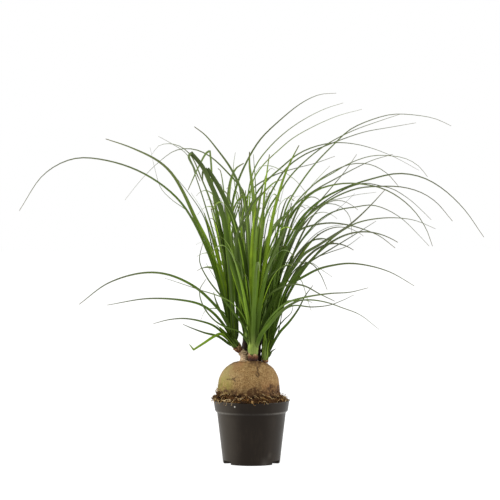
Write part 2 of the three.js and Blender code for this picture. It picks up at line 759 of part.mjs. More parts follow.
function crumbs() {
  const draw = seeded(41);
  return Array.from({ length: soil.crumbs }, (_, i) => {
    const turn = (i + draw(-0.4, 0.4)) / soil.crumbs * 2 * Math.PI;
    const r = draw(49, 54.5);
    const size = soil.crumbSize * draw(0.7, 1.25);
    const lump = new THREE.OctahedronGeometry(size).scale(1.3, 0.8, 0.6);
    lump.rotateX(draw(0, 3)).rotateZ(draw(0, 3));
    return solidOf(lump.translate(r * Math.cos(turn), r * Math.sin(turn), soilTop(turn, r) + 0.3));
  });
}

function soilSolid() {
  const bandFoot = pot.height - pot.bandDrop;
  const inBody = pot.bodyRadius - pot.wall - seatGap;
  const inFoot = pot.footRadius - pot.wall - seatGap;
  const edge = potInside(soil.level) - 0.2;
  const levels = [
    [inFoot - 1.8, pot.floor + seatGap], [inFoot - 0.2, pot.floor + 2.2],
    [inBody - 0.1, bandFoot - pot.stepDepth + 0.9], [potInside(bandFoot) - 0.3, bandFoot + 0.9],
    [edge, soil.level],
  ];
  const ring = (r, height) => Array.from({ length: soil.sides }, (_, i) => {
    const turn = i / soil.sides * 2 * Math.PI;
    return new THREE.Vector3(r * Math.cos(turn), r * Math.sin(turn), height(turn, r));
  });
  const rings = levels.map(([r, z]) => ring(r, () => z));
  for (let i = 1; i <= soil.rings; i += 1) {
    rings.push(ring(edge * (1 - 0.4 * (i / soil.rings) ** 1.4), soilTop));
  }
  rings.push([new THREE.Vector3(0, 0, soil.level + soil.mound)]);
  const socket = caudexBody(1 + 0.4 / caudex.radius);
  return largest(joined([skin(rings), ...crumbs()]).subtract(joined([socket, ...channelRoofs(seatGap)])));
}

// Leaves: long thin blades with a keel beneath, along a smooth curve
// The places along a curve for its rings, closer together where it bends
function stations(curve) {
  const fine = 80;
  const points = curve.getPoints(fine);
  const tangents = points.map((_, i) => curve.getTangent(i / fine));
  const reach = [0];
  const bend = [0];
  for (let i = 1; i <= fine; i += 1) {
    reach.push(reach[i - 1] + points[i].distanceTo(points[i - 1]));
    bend.push(bend[i - 1] + tangents[i].angleTo(tangents[i - 1]));
  }
  const wanted = Math.round(ringRule.start + bend[fine] * ringRule.perTurn);
  const count = clamp(wanted, ringRule.least, ringRule.most);
  const weight = reach.map((r, i) => r / reach[fine] + 1.6 * bend[i] / Math.max(bend[fine], 0.5));
  return Array.from({ length: count }, (_, k) => {
    const goal = weight[fine] * k / (count - 1);
    const i = Math.max(1, weight.findIndex((w) => w >= goal - 1e-9));
    const part = (goal - weight[i - 1]) / (weight[i] - weight[i - 1]);
    return { t: (i - 1 + part) / fine, along: mix(reach[i - 1], reach[i], part) / reach[fine] };
  });
}

function bladeRings(curve, leaf, from, to) {
  const chord = curve.getPoint(1).sub(curve.getPoint(0));
  const flat = new THREE.Vector3(-chord.y, chord.x, 0).normalize();
  const hand = chord.x < 0 ? -1 : 1;
  const sideTurn = blade.sideTurn * Math.abs(chord.x) / chord.length();
  return stations(curve).map(({ t, along }) => {
    const share = mix(from, to, along);
    const centre = curve.getPoint(t);
    const tangent = curve.getTangent(t);
    const side = flat.clone().addScaledVector(tangent, -flat.dot(tangent)).normalize();
    side.applyAxisAngle(tangent, hand * rad(mix(leaf.turn[0], leaf.turn[1], share) + sideTurn));
    const face = tangent.clone().cross(side);
    const opening = mix(blade.rootShare, 1, Math.min(1, share / blade.opening));
    const half = leaf.wide / 2 * opening * (1 - (1 - blade.tipShare) * share ** leaf.taper);
    return [
      centre.clone().addScaledVector(side, half).addScaledVector(face, blade.channel),
      centre.clone().addScaledVector(side, -half).addScaledVector(face, blade.channel),
      centre.clone().addScaledVector(face, -mix(blade.keel, blade.tipKeel, share)),
    ];
  });
}

function smoothCurve(points) {
  return new THREE.CatmullRomCurve3(points, false, 'centripetal');
}

function leafRoot(head, share, heading) {
  const rise = head.collar.height + crown.rootRise + crown.rootSpread * share;
  const foot = vec(head.seat).addScaledVector(vec(head.lean).normalize(), rise);
  const out = head.radius * crown.rootShare;
  return foot.add(new THREE.Vector3(Math.cos(heading), Math.sin(heading), 0).multiplyScalar(out));
}

// Sets a point of the front view back to a depth.
function setBack([x, z], y) {
  const grow = 1 + y / viewer.distance;
  return new THREE.Vector3(x * grow, y, viewer.height + (z - viewer.height) * grow);
}

// Keeps a leaf of one head out of the way of the others' leaves.
function keepInSector(head, x, y) {
  const [low, high] = head.sector.map(rad);
  const middle = (low + high) / 2;
  const off = Math.atan2(Math.sin(Math.atan2(y, x) - middle), Math.cos(Math.atan2(y, x) - middle));
  if (Math.abs(off) <= (high - low) / 2) {
    return y;
  }
  return Math.tan(off < 0 ? low : high) * x;
}

function leadPoints(head, leaf) {
  const [seatX, seatY, seatZ] = head.seat;
  const stops = [[seatX, seatZ], ...leaf.way];
  const reach = [0];
  for (let i = 1; i < stops.length; i += 1) {
    reach.push(reach[i - 1] + Math.hypot(stops[i][0] - stops[i - 1][0], stops[i][1] - stops[i - 1][1]));
  }
  return leaf.way.map((spot, i) => {
    const share = (reach[i + 1] / reach[stops.length - 1]) ** viewer.spread;
    return setBack(spot, seatY + keepInSector(head, spot[0] - seatX, (leaf.depth - seatY) * share));
  });
}

function leadBlades(head, leaf) {
  const points = leadPoints(head, leaf);
  const tip = points[points.length - 1];
  const heading = Math.atan2(tip.y - head.seat[1], tip.x - head.seat[0]);
  const share = clamp((tip.z - 200) / 300, 0, 1);
  const main = leaf.fall ? 0.72 : 1;
  const curve = smoothCurve([leafRoot(head, share, heading), ...points]);
  const solids = [skin(bladeRings(curve, leaf, 0, main))];
  if (leaf.fall) {
    const start = tip.clone().addScaledVector(curve.getTangent(1), -0.8);
    const drop = smoothCurve([start, ...leaf.fall.map((spot) => setBack(spot, tip.y))]);
    solids.push(skin(bladeRings(drop, leaf, main, 1)));
  }
  return solids;
}

// A leaf that fills the tuft: the first ones stand upright inside and the last arch out lowest.
function fillBlade(head, draw, index) {
  const { count, fan, reach, top, side } = head.fill;
  const age = (index + 0.5) / count;
  const heading = rad(mix(fan[0], fan[1], (index * 0.618034 + draw(0, 0.12)) % 1));
  const sideways = side / Math.max(0.2, Math.abs(Math.cos(heading)));
  const far = Math.min(sideways, mix(reach[0], reach[1], age ** 0.8) * draw(0.8, 1.2));
  const root = leafRoot(head, 1 - age, heading);
  const rise = (mix(top[0], top[1], age) - root.z) * draw(0.9, 1.1);
  const step = (out, height) => root.clone().add(
    new THREE.Vector3(Math.cos(heading) * far * out, Math.sin(heading) * far * out, rise * height),
  );
  const arch = clamp(far / 160, 0.15, 1.1);
  const low = step(draw(0.05, 0.2), 0.45 + 0.15 * arch);
  const curve = new THREE.CubicBezierCurve3(root, low, step(0.5, 1 + 0.32 * arch), step(1, 1));
  const leaf = { wide: draw(5, 8), turn: [draw(-10, 45), draw(0, 45)], taper: 1.5 };
  return skin(bladeRings(curve, leaf, 0, 1));
}

function crownCore(head) {
  const { foot, radius, height } = head;
  const shoulder = head.collar.height + collar.slack;
  const profile = [
    [0, seatGap], [foot, seatGap], [foot, shoulder], [radius, shoulder + crown.swell],
    [radius, mix(shoulder, height, 0.45)], [radius * crown.tipShare, height], [0, height],
  ];
  return turned(profile, crown.sides, vec(head.seat), vec(head.lean).normalize());
}

function leavesSolid(name, seed) {
  const head = heads[name];
  const draw = seeded(seed);
  const leads = leadLeaves[name].flatMap((leaf) => leadBlades(head, leaf));
  const fillers = Array.from({ length: head.fill.count }, (_, i) => fillBlade(head, draw, i));
  return largest(joined([crownCore(head), ...leads, ...fillers]));
}

// Collar: the ring of short dry leaf bases round the foot of a head
function collarSolid(head) {
  const { height, bottom, top } = head.collar;
  const inner = head.foot + collar.slack;
  const lean = vec(head.lean).normalize();
  const ring = turned([
    [inner, seatGap], [bottom, seatGap], [mix(bottom, top, 0.5) + 0.5, height * 0.45],
    [mix(bottom, top, 0.5) - 0.1, height * 0.55], [top, height], [inner, height], [inner, seatGap],
  ], collar.sides, vec(head.seat), lean);
  const turn = new THREE.Quaternion().setFromUnitVectors(up, lean);
  const scales = Array.from({ length: collar.scales }, (_, i) => {
    const cone = new THREE.ConeGeometry(collar.scaleRadius, collar.scaleRise + 2, 3).rotateX(Math.PI / 2);
    cone.translate(top - 1.1, 0, height - 0.6 + collar.scaleRise / 2);
    cone.rotateZ(i / collar.scales * 2 * Math.PI + 0.2);
    return solidOf(cone.applyQuaternion(turn).translate(...head.seat));
  });
  const hollow = [[0, -1], [inner, -1], [inner, height + 9], [0, height + 9]];
  const bore = turned(hollow, collar.sides, vec(head.seat), lean);
  return largest(joined([ring, ...scales]).subtract(bore));
}

// Dead shoot: its stalks grow from a common foot
function dryShootSolid() {
  const { foot, radius, rise, sides, stalks } = dryShoot;
  const base = turned([[0, 0], [radius, 0], [radius - 0.6, rise], [0, rise]], 8, vec(foot), up);
  const ring = (curve, t, size) => {
    const tangent = curve.getTangent(t);
    const across = new THREE.Vector3(1, 0, 0).addScaledVector(tangent, -tangent.x).normalize();
    const away = tangent.clone().cross(across);
    return Array.from({ length: sides }, (_, i) => {
      const turn = i / sides * 2 * Math.PI;
      const spot = curve.getPoint(t).addScaledVector(across, size * Math.cos(turn));
      return spot.addScaledVector(away, size * Math.sin(turn));
    });
  };
  const stems = stalks.map(({ to, bow, radius: thick }) => {
    const start = vec(foot).add(new THREE.Vector3(0, 0, 1.5));
    const curve = smoothCurve([start, vec(bow), vec(to)]);
    return skin([0, 0.3, 0.65, 1].map((t) => ring(curve, t, thick * (1 - 0.4 * t))));
  });
  return largest(joined([base, ...stems]));
}

// The whole plant in its pot
const plant = new THREE.Group();

function add(name, solid, colour, roughness) {
  const mesh = new THREE.Mesh(geometryOf(solid), material(colour, roughness));
  mesh.name = name;
  plant.add(mesh);
}

add('pot', potSolid(), colours.pot, 0.45);
add('soil', soilSolid(), colours.soil, 0.95);
add('caudex', caudexSolid(), colours.caudex, 0.85);
add('dry_shoot', dryShootSolid(), colours.dry, 0.9);
Object.keys(heads).forEach((name, i) => {
  add(`collar_${name}`, collarSolid(heads[name]), colours.collar, 0.9);
  add(`leaves_${name}`, leavesSolid(name, 101 + i), colours[name], 0.5);
});

export default plant;
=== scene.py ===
import math
import random

import bpy
import numpy as np
from mathutils import Matrix, Vector, noise


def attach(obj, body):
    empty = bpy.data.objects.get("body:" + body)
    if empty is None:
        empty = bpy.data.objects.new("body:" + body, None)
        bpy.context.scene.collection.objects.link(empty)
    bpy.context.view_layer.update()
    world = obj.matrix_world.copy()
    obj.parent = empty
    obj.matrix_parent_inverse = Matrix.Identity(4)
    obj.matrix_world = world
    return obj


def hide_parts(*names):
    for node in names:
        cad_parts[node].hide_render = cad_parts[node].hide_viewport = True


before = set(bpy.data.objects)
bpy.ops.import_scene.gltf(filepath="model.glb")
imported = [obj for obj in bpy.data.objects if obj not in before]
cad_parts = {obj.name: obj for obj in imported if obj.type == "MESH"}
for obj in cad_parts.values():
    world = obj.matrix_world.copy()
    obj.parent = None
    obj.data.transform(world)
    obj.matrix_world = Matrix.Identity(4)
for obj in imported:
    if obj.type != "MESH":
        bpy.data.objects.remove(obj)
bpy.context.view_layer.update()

mm = 0.001

# Camera, where the photograph was taken from
view = dict(distance=3.0, height=0.395, side=-0.0023, aimHeight=0.332, lens=138.6, sensor=36)
cameraData = bpy.data.cameras.new("camera")
cameraData.lens = view["lens"]
cameraData.sensor_width = view["sensor"]
camera = bpy.data.objects.new("camera", cameraData)
bpy.context.scene.collection.objects.link(camera)
camera.location = (view["side"], -view["distance"], view["height"])
sight = Vector((view["side"], 0, view["aimHeight"])) - camera.location
camera.rotation_euler = sight.to_track_quat("-Z", "Y").to_euler()
bpy.context.scene.camera = camera
print("camera ready")


# Shared steps
def pick(piece):
    bpy.ops.object.select_all(action="DESELECT")
    piece.select_set(True)
    bpy.context.view_layer.objects.active = piece


def editAll(piece):
    pick(piece)
    bpy.ops.object.mode_set(mode="EDIT")
    bpy.ops.mesh.select_all(action="SELECT")


def leaveEdit():
    bpy.ops.object.mode_set(mode="OBJECT")


def outwardFaces(piece):
    editAll(piece)
    bpy.ops.mesh.normals_make_consistent(inside=False)
    leaveEdit()


def settle(piece):
    pick(piece)
    bpy.ops.object.transform_apply(location=True, rotation=True, scale=True)


def applyModifier(piece, kind, **values):
    modifier = piece.modifiers.new(kind.lower(), kind)
    for key, value in values.items():
        setattr(modifier, key, value)
    pick(piece)
    bpy.ops.object.modifier_apply(modifier=modifier.name)


def smooth(piece, degrees):
    pick(piece)
    bpy.ops.object.shade_smooth_by_angle(angle=math.radians(degrees))


def points(piece):
    coords = np.empty(len(piece.data.vertices) * 3)
    piece.data.vertices.foreach_get("co", coords)
    return coords.reshape(-1, 3)


def place(piece, coords):
    piece.data.vertices.foreach_set("co", np.ascontiguousarray(coords, dtype=np.float32).ravel())
    piece.data.update()


def twin(piece, coords):
    copy = piece.copy()
    copy.data = piece.data.copy()
    bpy.context.scene.collection.objects.link(copy)
    place(copy, coords * mm)
    return copy


def mark(piece, **marks):
    for name, values in marks.items():
        attribute = piece.data.attributes.new(name, "FLOAT", "POINT")
        attribute.data.foreach_set("value", np.full(len(piece.data.vertices), values, dtype=np.float32))


def joinAll(pieces, name, tones=None):
    bpy.ops.object.select_all(action="DESELECT")
    for piece in pieces:
        piece.select_set(True)
    bpy.context.view_layer.objects.active = pieces[0]
    bpy.ops.object.join()
    joined = bpy.context.active_object
    joined.name = name
    joined.data.name = name
    if tones is not None:
        mark(joined, tone=tones)
    return joined


def finished(piece, material, nodes=()):
    piece.data.materials.clear()
    piece.data.materials.append(material)
    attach(piece, "root")
    if nodes:
        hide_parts(*nodes)
    print(piece.name, len(piece.data.polygons), "faces")
    return piece


# Draws a turned body up from a disc, one ring of radius and height after another
def turnedBody(rings, count, name):
    bpy.ops.mesh.primitive_circle_add(vertices=count, radius=rings[0][0] * mm, fill_type="NGON",
                                      location=(0, 0, rings[0][1] * mm))
    body = bpy.context.active_object
    settle(body)
    editAll(body)
    for (r, z), (nextR, nextZ) in zip(rings, rings[1:]):
        bpy.ops.mesh.extrude_region_move(TRANSFORM_OT_translate={"value": (0, 0, (nextZ - z) * mm)})
        bpy.ops.transform.resize(value=(nextR / r, nextR / r, 1), center_override=(0, 0, nextZ * mm))
    leaveEdit()
    outwardFaces(body)
    body.name = name
    body.data.name = name
    return body


# A straight stalk of unit radius, cut across into even lengths so that it can be bent
def stalkBlank(sides, lengths):
    bpy.ops.mesh.primitive_cylinder_add(vertices=sides, radius=1, depth=2, end_fill_type="NGON")
    stalk = bpy.context.active_object
    editAll(stalk)
    for k in range(1, lengths):
        bpy.ops.mesh.select_all(action="SELECT")
        bpy.ops.mesh.bisect(plane_co=(0, 0, -1 + 2 * k / lengths), plane_no=(0, 0, 1))
    leaveEdit()
    return stalk


def ease(low, high, value):
    share = np.clip((value - low) / (high - low), 0, 1)
    return share * share * (3 - 2 * share)


def unit(rows):
    return rows / np.linalg.norm(rows, axis=1)[:, None]


def aroundAxis(r, angle, z):
    return np.stack([r * np.cos(angle), r * np.sin(angle), z], axis=1)


def lumpiness(coords, size):
    return np.array([noise.noise(Vector(p) / size) for p in coords])


# The same draws on every machine
def portableDraw(seed):
    state = [seed]

    def draw(low=0.0, high=1.0):
        state[0] = (state[0] * 1664525 + 1013904223) % 4294967296
        return low + (high - low) * state[0] / 4294967296
    return draw


# Materials: a recipe keeps its colour so far in skin, and over lays the next colour on it
class Recipe:
    def __init__(self, name, specular, tint=(1, 1, 1)):
        self.material = bpy.data.materials.new(name)
        self.material.use_nodes = True
        self.tree = self.material.node_tree
        self.shader = self.tree.nodes["Principled BSDF"]
        self.shader.inputs["Specular IOR Level"].default_value = specular
        self.shader.inputs["Specular Tint"].default_value = (*tint, 1)
        self.coords = self.tree.nodes.new("ShaderNodeTexCoord").outputs["Object"]
        self.skin = None

    def feed(self, value, socket):
        if isinstance(value, bpy.types.NodeSocket):
            self.tree.links.new(value, socket)
        else:
            socket.default_value = value

    def add(self, kind, output=0, **values):
        step = self.tree.nodes.new("ShaderNode" + kind)
        for key, value in values.items():
            if hasattr(step, key):
                setattr(step, key, value)
                continue
            numbered = key.startswith("in") and key[2:].isdigit()
            self.feed(value, step.inputs[int(key[2:]) if numbered else key])
        return step.outputs[output]

    def speckle(self, size, detail=3.0, rough=0.55, coords=None, distort=0.0):
        return self.add("TexNoise", Vector=coords or self.coords, Scale=1 / size, Detail=detail,
                        Roughness=rough, Distortion=distort)

    def stretched(self, scale):
        return self.add("Mapping", Vector=self.coords, Scale=scale)

    def own(self, name):
        return self.add("Attribute", "Fac", attribute_name=name)

    def math(self, kind, first, second=0.0):
        return self.add("Math", operation=kind, in0=first, in1=second)

    def times(self, first, second):
        return self.math("MULTIPLY", first, second)

    def range(self, value, low, high, newLow=0.0, newHigh=1.0):
        return self.add("MapRange", in0=value, in1=low, in2=high, in3=newLow, in4=newHigh)

    def blend(self, share, *colours):
        first, second = [(*c, 1) if isinstance(c, tuple) else c for c in colours]
        return self.add("Mix", 2, data_type="RGBA", in0=share, in6=first, in7=second)

    def ramp(self, value, *stops):
        step = self.tree.nodes.new("ShaderNodeValToRGB")
        band = step.color_ramp
        while len(band.elements) < len(stops):
            band.elements.new(1.0)
        for element, (spot, colour) in zip(band.elements, stops):
            element.position = spot
            element.color = (*colour, 1)
        self.tree.links.new(value, step.inputs[0])
        self.skin = step.outputs[0]

    def over(self, share, colour):
        self.skin = self.blend(share, self.skin, colour)

    def bump(self, height, depth, strength=1.0):
        normal = self.shader.inputs["Normal"]
        before = {"Normal": normal.links[0].from_socket} if normal.links else {}
        self.feed(self.add("Bump", Strength=strength, Distance=depth, Height=height, **before), normal)

    def done(self, roughness):
        self.feed(self.skin, self.shader.inputs["Base Color"])
        self.feed(roughness, self.shader.inputs["Roughness"])
        return self.material


# Dry stuff: each piece has its own tone along the ramp, and a darker stain follows the grain
barkLook = dict(
    name="bark and coir", grain=0.0009, stretch=(1, 1, 3), specular=0.05, rough=0.9,
    stain=(0.03, 0.015, 0.008), stained=(0.3, 0.7, 0.0, 0.45),
    tones=[(0.0, (0.004, 0.002, 0.001)), (0.35, (0.022, 0.009, 0.002)), (0.62, (0.09, 0.042, 0.012)),
           (0.82, (0.24, 0.15, 0.055)), (1.0, (0.6, 0.46, 0.25))],
)
dryLeafLook = dict(
    name="dry leaf base", grain=0.0012, stretch=(1, 1, 0.12), specular=0.12, rough=0.7,
    stain=(0.014, 0.006, 0.004), stained=(0.42, 0.6, 0.0, 0.6),
    tones=[(0.0, (0.006, 0.003, 0.002)), (0.3, (0.03, 0.01, 0.005)), (0.6, (0.105, 0.036, 0.014)),
           (1.0, (0.32, 0.22, 0.1))],
)


def dryMaterial(look):
    made = Recipe(look["name"], look["specular"])
    grain = made.speckle(look["grain"], 3, coords=made.stretched(look["stretch"]))
    made.ramp(made.own("tone"), *look["tones"])
    made.over(made.range(grain, *look["stained"]), look["stain"])
    made.bump(grain, 0.0004)
    return made.done(look["rough"])


# Pot: rings drawn from the outside of the foot up over the rim and down to the inner floor
potShape = dict(
    height=98, rim=60, bandFoot=82.2, band=57, bandRun=13.3, bodyTop=53.6, bodyTopHeight=78, foot=44.7,
    footTop=2.4, wall=1.2, floor=1.6, channelAngle=28, channelHeight=5.2, channelInner=21, roof=1.3,
    roofSpread=6, hole=3.2, holeAt=33, firstChannel=90, sides=144,
    scuffs=[((20, 3.5), 5.5, 0.12), ((28, 14), 2.5, 0.08)],
)
potLook = dict(
    # The side colour below is a painted sheen on the pot's left and right sides.
    plastic=(0.0045, 0.003, 0.0018), dust=(0.016, 0.0115, 0.007), sideDust=(0.024, 0.02, 0.0145),
    # The worn colour paints the real scuffs and also a painted highlight along the ledge under the band.
    worn=(0.2, 0.185, 0.16), speck=(0.38, 0.36, 0.32), speckAt=(-0.026, -0.053, 0.0922), ledgeHighlightAt=0.0806,
)


def potPlastic():
    look = potLook
    made = Recipe("black plastic", 0.17, (1, 0.87, 0.78))
    cloud = made.speckle(0.03, 4)
    streaks = made.speckle(0.003, 3, coords=made.stretched((1, 1, 0.05)))
    x, height = [made.add("SeparateXYZ", axis, Vector=made.coords) for axis in (0, 2)]
    made.skin = look["plastic"]
    made.over(made.times(made.range(cloud, 0.45, 0.75), made.range(streaks, 0.4, 0.75)), look["dust"])
    # Lighter towards the left and right sides: a painted sheen where the side lights reflect, strongest on
    # the left.
    left, right = made.range(x, -0.015, -0.048, 0.0, 0.9), made.range(x, 0.02, 0.05, 0.0, 0.3)
    made.over(made.math("ADD", left, right), look["sideDust"])
    # A painted highlight along the ledge under the band, lighter towards the sides, laid in the worn colour
    # together with the real scuffs.
    offLedge = made.math("ABSOLUTE", made.math("SUBTRACT", height, look["ledgeHighlightAt"]))
    ledgeHighlight = made.range(offLedge, 0.0007, 0.0022, 0.3, 0.0)
    ledgeHighlight = made.times(ledgeHighlight, made.range(streaks, 0.3, 0.6, 0.4, 1.0))
    aside = made.range(made.math("ABSOLUTE", x), 0.01, 0.045, 0.15, 1.0)
    made.over(made.math("ADD", made.own("worn"), made.times(ledgeHighlight, aside)), look["worn"])
    fromSpeck = made.add("VectorMath", 1, operation="DISTANCE", in0=made.coords, in1=look["speckAt"])
    made.over(made.range(fromSpeck, 0.0007, 0.0017, 1.0, 0.0), look["speck"])
    made.bump(made.speckle(0.0009, 2), 0.00004, 0.5)
    made.bump(made.speckle(0.012, 2), 0.0002, 0.35)
    return made.done(made.range(cloud, 0.3, 0.7, 0.34, 0.46))


def risingRings(start, end, count):
    (r, z), (endR, endZ) = start, end
    return [(r + (endR - r) * k / count, z + (endZ - z) * k / count) for k in range(1, count + 1)]


def potRings():
    s = potShape
    foot, body, band, rim, top = s["foot"], s["bodyTop"], s["band"], s["rim"], s["height"]
    bodyTop, bandFoot, wall, floor = s["bodyTopHeight"], s["bandFoot"], s["wall"], s["floor"]
    outer = [(foot - 1.8, 0), (foot - 0.7, 0.35), (foot - 0.2, 1.1), (foot, s["footTop"])]
    outer += risingRings(outer[-1], (body, bodyTop), 12)
    outer += [(body + 0.35, bodyTop + 0.7), (band - 1.7, bandFoot - 2.0), (band - 0.5, bandFoot - 0.7),
              (band, bandFoot + 0.6)]
    outer += risingRings(outer[-1], (rim - 0.9, bandFoot + 0.6 + s["bandRun"]), 6)
    lip = [(rim - 0.2, top - 1.3), (rim, top - 0.7), (rim - 0.25, top - 0.15), (rim - 0.7, top),
           (rim - wall - 0.1, top - 0.2)]
    inner = [(rim - wall - 0.8, top - 1.8), (band - wall, bandFoot + 0.3), (body - wall, bodyTop + 0.6),
             (foot - wall + 0.2, floor + 2), (foot - wall - 1.4, floor)]
    return outer + lip + inner


# A block between two radii and two heights, as wide as its angle
def wedgeSolid(inner, outer, angle, low, high, turn):
    bpy.ops.mesh.primitive_grid_add(x_subdivisions=1, y_subdivisions=12, size=2)
    wedge = bpy.context.active_object
    applyModifier(wedge, "SOLIDIFY", thickness=2, offset=0)
    coords = points(wedge)
    r = inner + (outer - inner) * (coords[:, 0] + 1) / 2
    around = turn + math.radians(angle) / 2 * coords[:, 1]
    place(wedge, aroundAxis(r, around, np.where(coords[:, 2] > 0, high, low)) * mm)
    outwardFaces(wedge)
    return wedge


def cut(piece, tool, operation="DIFFERENCE"):
    applyModifier(piece, "BOOLEAN", operation=operation, object=tool, solver="EXACT")
    bpy.data.objects.remove(tool)


# The raised roof over a channel in the pot's floor, with room round it where the soil has to clear it
def channelRoof(turn, low, room=0.0):
    s = potShape
    inner = s["channelInner"] - s["roof"] - room
    angle = s["channelAngle"] + s["roofSpread"] + 2 * room
    return wedgeSolid(inner, s["foot"] - 0.6, angle, low, s["channelHeight"] + s["roof"] + room, turn)


def channelTurns():
    return [math.radians(potShape["firstChannel"] + 120 * k) for k in range(3)]


def cutPot(pot):
    s = potShape
    for turn in channelTurns():
        cut(pot, channelRoof(turn, s["floor"] / 2), "UNION")
    for turn in channelTurns():
        channel = wedgeSolid(s["channelInner"], s["rim"], s["channelAngle"], -2, s["channelHeight"], turn)
        applyModifier(channel, "BEVEL", width=0.0009, segments=3)
        cut(pot, channel)
        away = Vector((math.cos(turn), math.sin(turn), 0)) * s["holeAt"] * mm
        bpy.ops.mesh.primitive_cylinder_add(vertices=32, radius=s["hole"] * mm, depth=0.03, location=away)
        cut(pot, bpy.context.active_object)


def makePot():
    pot = turnedBody(potRings(), potShape["sides"], "pot_shell")
    cutPot(pot)
    smooth(pot, 38)
    coords = points(pot) / mm
    worn = np.zeros(len(coords))
    for (x, z), reach, share in potShape["scuffs"]:
        spread = np.hypot(coords[:, 0] - x, coords[:, 2] - z) / reach
        worn = np.maximum(worn, share * np.exp(-spread ** 2) * (coords[:, 1] < 0))
    mark(pot, worn=worn)
    return finished(pot, potPlastic(), ["pot"])


# Caudex: a lumpy corky globe with short necks, one skin. Cracks and smears of soil are strokes seen from
# the front, with a width each.
caudexShape = dict(
    centre=(-4.5, 0, 112), radius=48, above=48, below=46, shoulder=2.5, segments=96, rows=64, voxel=0.8,
    smoothing=6, lumps=0.6, cork=0.26, rings=0.45, scarDepth=0.9,
    cracks=[
        ([(-38.6, 132.7), (-32, 133.5), (-27.3, 134.2), (-22.4, 138.2)], 1.0),
        ([(-27.3, 134.2), (-25, 130.3)], 1.0), ([(-29, 134.6), (-27, 134)], 1.6),
        ([(9.4, 151.5), (9.6, 144)], 1.5), ([(9.2, 147), (7.5, 143.5), (7.6, 139.5), (9.4, 137.4)], 1.1),
        ([(9.4, 147), (11.3, 143.5), (11.2, 139.5), (9.4, 137.4)], 1.4),
        ([(30, 123), (29.6, 117), (29.5, 111)], 1.0), ([(-7.5, 135)] * 2, 0.8), ([(-15, 126)] * 2, 0.6),
        ([(33.5, 115), (33, 110)], 1.2), ([(3, 117), (2, 113)], 1.4), ([(7, 112), (6, 109)], 1.2),
        ([(-30, 115), (-28, 108)], 1.3), ([(-43, 122), (-42, 119)], 0.6), ([(-20, 111), (-14, 108)], 1.0),
    ],
    smears=[
        ([(30, 124), (29, 112), (32, 106)], 2.6), ([(41, 118), (40, 107)], 3),
        ([(-3, 116), (6, 119), (10, 110)], 3), ([(-26, 114), (-27, 105)], 2.4), ([(16, 112), (24, 108)], 2.6),
        ([(-12, 109), (-2, 107)], 2.4), ([(-41, 113), (-44, 107)], 3),
    ],
    brow=[([(-33, 149), (-24, 155), (-17, 157)], 4)],
)
corkLook = dict(
    furrow=(0.05, 0.025, 0.007), skin=(0.14, 0.082, 0.028), ridge=(0.3, 0.195, 0.086),
    paleBlot=(0.32, 0.23, 0.105), darkBlot=(0.07, 0.036, 0.012), warm=(0.11, 0.056, 0.018),
    ruddy=(0.15, 0.066, 0.024), green=(0.14, 0.135, 0.022), grey=(0.2, 0.15, 0.075), neck=(0.6, 0.46, 0.29),
    neckRing=(0.27, 0.18, 0.1), speck=(0.04, 0.022, 0.008), lichen=(0.32, 0.26, 0.12),
    dirt=(0.042, 0.019, 0.006), scar=(0.03, 0.015, 0.006),
)


def corkMaterial():
    look = corkLook
    made = Recipe("corky skin", 0.1)
    fine = made.speckle(0.0016, 6, 0.68)
    patches = made.speckle(0.011, 4, 0.6, distort=0.8)
    broad = made.speckle(0.03, 2)
    blots = made.speckle(0.006, 5, 0.7, distort=1.2)
    made.ramp(fine, (0.3, look["furrow"]), (0.47, look["skin"]), (0.7, look["ridge"]))
    made.over(made.range(blots, 0.48, 0.34, 0.0, 0.45), look["paleBlot"])
    made.over(made.range(blots, 0.54, 0.7, 0.0, 0.6), look["darkBlot"])
    made.over(made.range(patches, 0.44, 0.7, 0.0, 0.7), look["warm"])
    made.over(made.times(made.own("ruddy"), made.range(broad, 0.3, 0.65)), look["ruddy"])
    made.over(made.times(made.own("green"), made.range(patches, 0.38, 0.62, 0.15, 1.0)), look["green"])
    made.over(made.own("grey"), look["grey"])
    made.over(made.own("neck"), made.blend(made.own("ring"), look["neck"], look["neckRing"]))
    made.over(made.range(made.speckle(0.0011, 2), 0.62, 0.72), look["speck"])
    made.over(made.range(made.speckle(0.0024, 2), 0.66, 0.76, 0.0, 0.6), look["lichen"])
    made.over(made.times(made.own("dirt"), made.range(made.speckle(0.005, 4), 0.34, 0.54)), look["dirt"])
    made.over(made.own("scar"), look["scar"])
    made.bump(fine, 0.0006, 0.8)
    made.bump(patches, 0.0012, 0.5)
    return made.done(0.75)


def caudexFlare(turn, z):
    broad = 0.012 * np.sin(2 * turn + 0.7) + 0.014 * np.sin(3 * turn + z / 19)
    return 1 + broad + 0.01 * np.sin(5 * turn - z / 11)


def makeCaudex():
    s = caudexShape
    bpy.ops.mesh.primitive_uv_sphere_add(segments=s["segments"], ring_count=s["rows"], radius=1)
    globe = bpy.context.active_object
    coords = points(globe)
    flat = np.hypot(coords[:, 0], coords[:, 1])
    turn = np.arctan2(coords[:, 1], coords[:, 0])
    up = coords[:, 2]
    share = 2 / s["shoulder"]
    reach = s["radius"] * np.where(up > 0, flat ** share, flat)
    z = np.where(up > 0, s["above"] * np.abs(up) ** share, s["below"] * up)
    place(globe, (aroundAxis(reach * caudexFlare(turn, z), turn, z) + s["centre"]) * mm)
    pieces = [globe] + [neck for head in heads.values() for neck in neckPieces(head)]
    caudex = joinAll(pieces, "caudex_skin")
    caudex.data.remesh_voxel_size = s["voxel"] * mm
    pick(caudex)
    bpy.ops.object.voxel_remesh()
    applyModifier(caudex, "SMOOTH", factor=0.5, iterations=s["smoothing"])
    roughen(caudex)
    smooth(caudex, 180)
    return finished(caudex, corkMaterial(), ["caudex"])


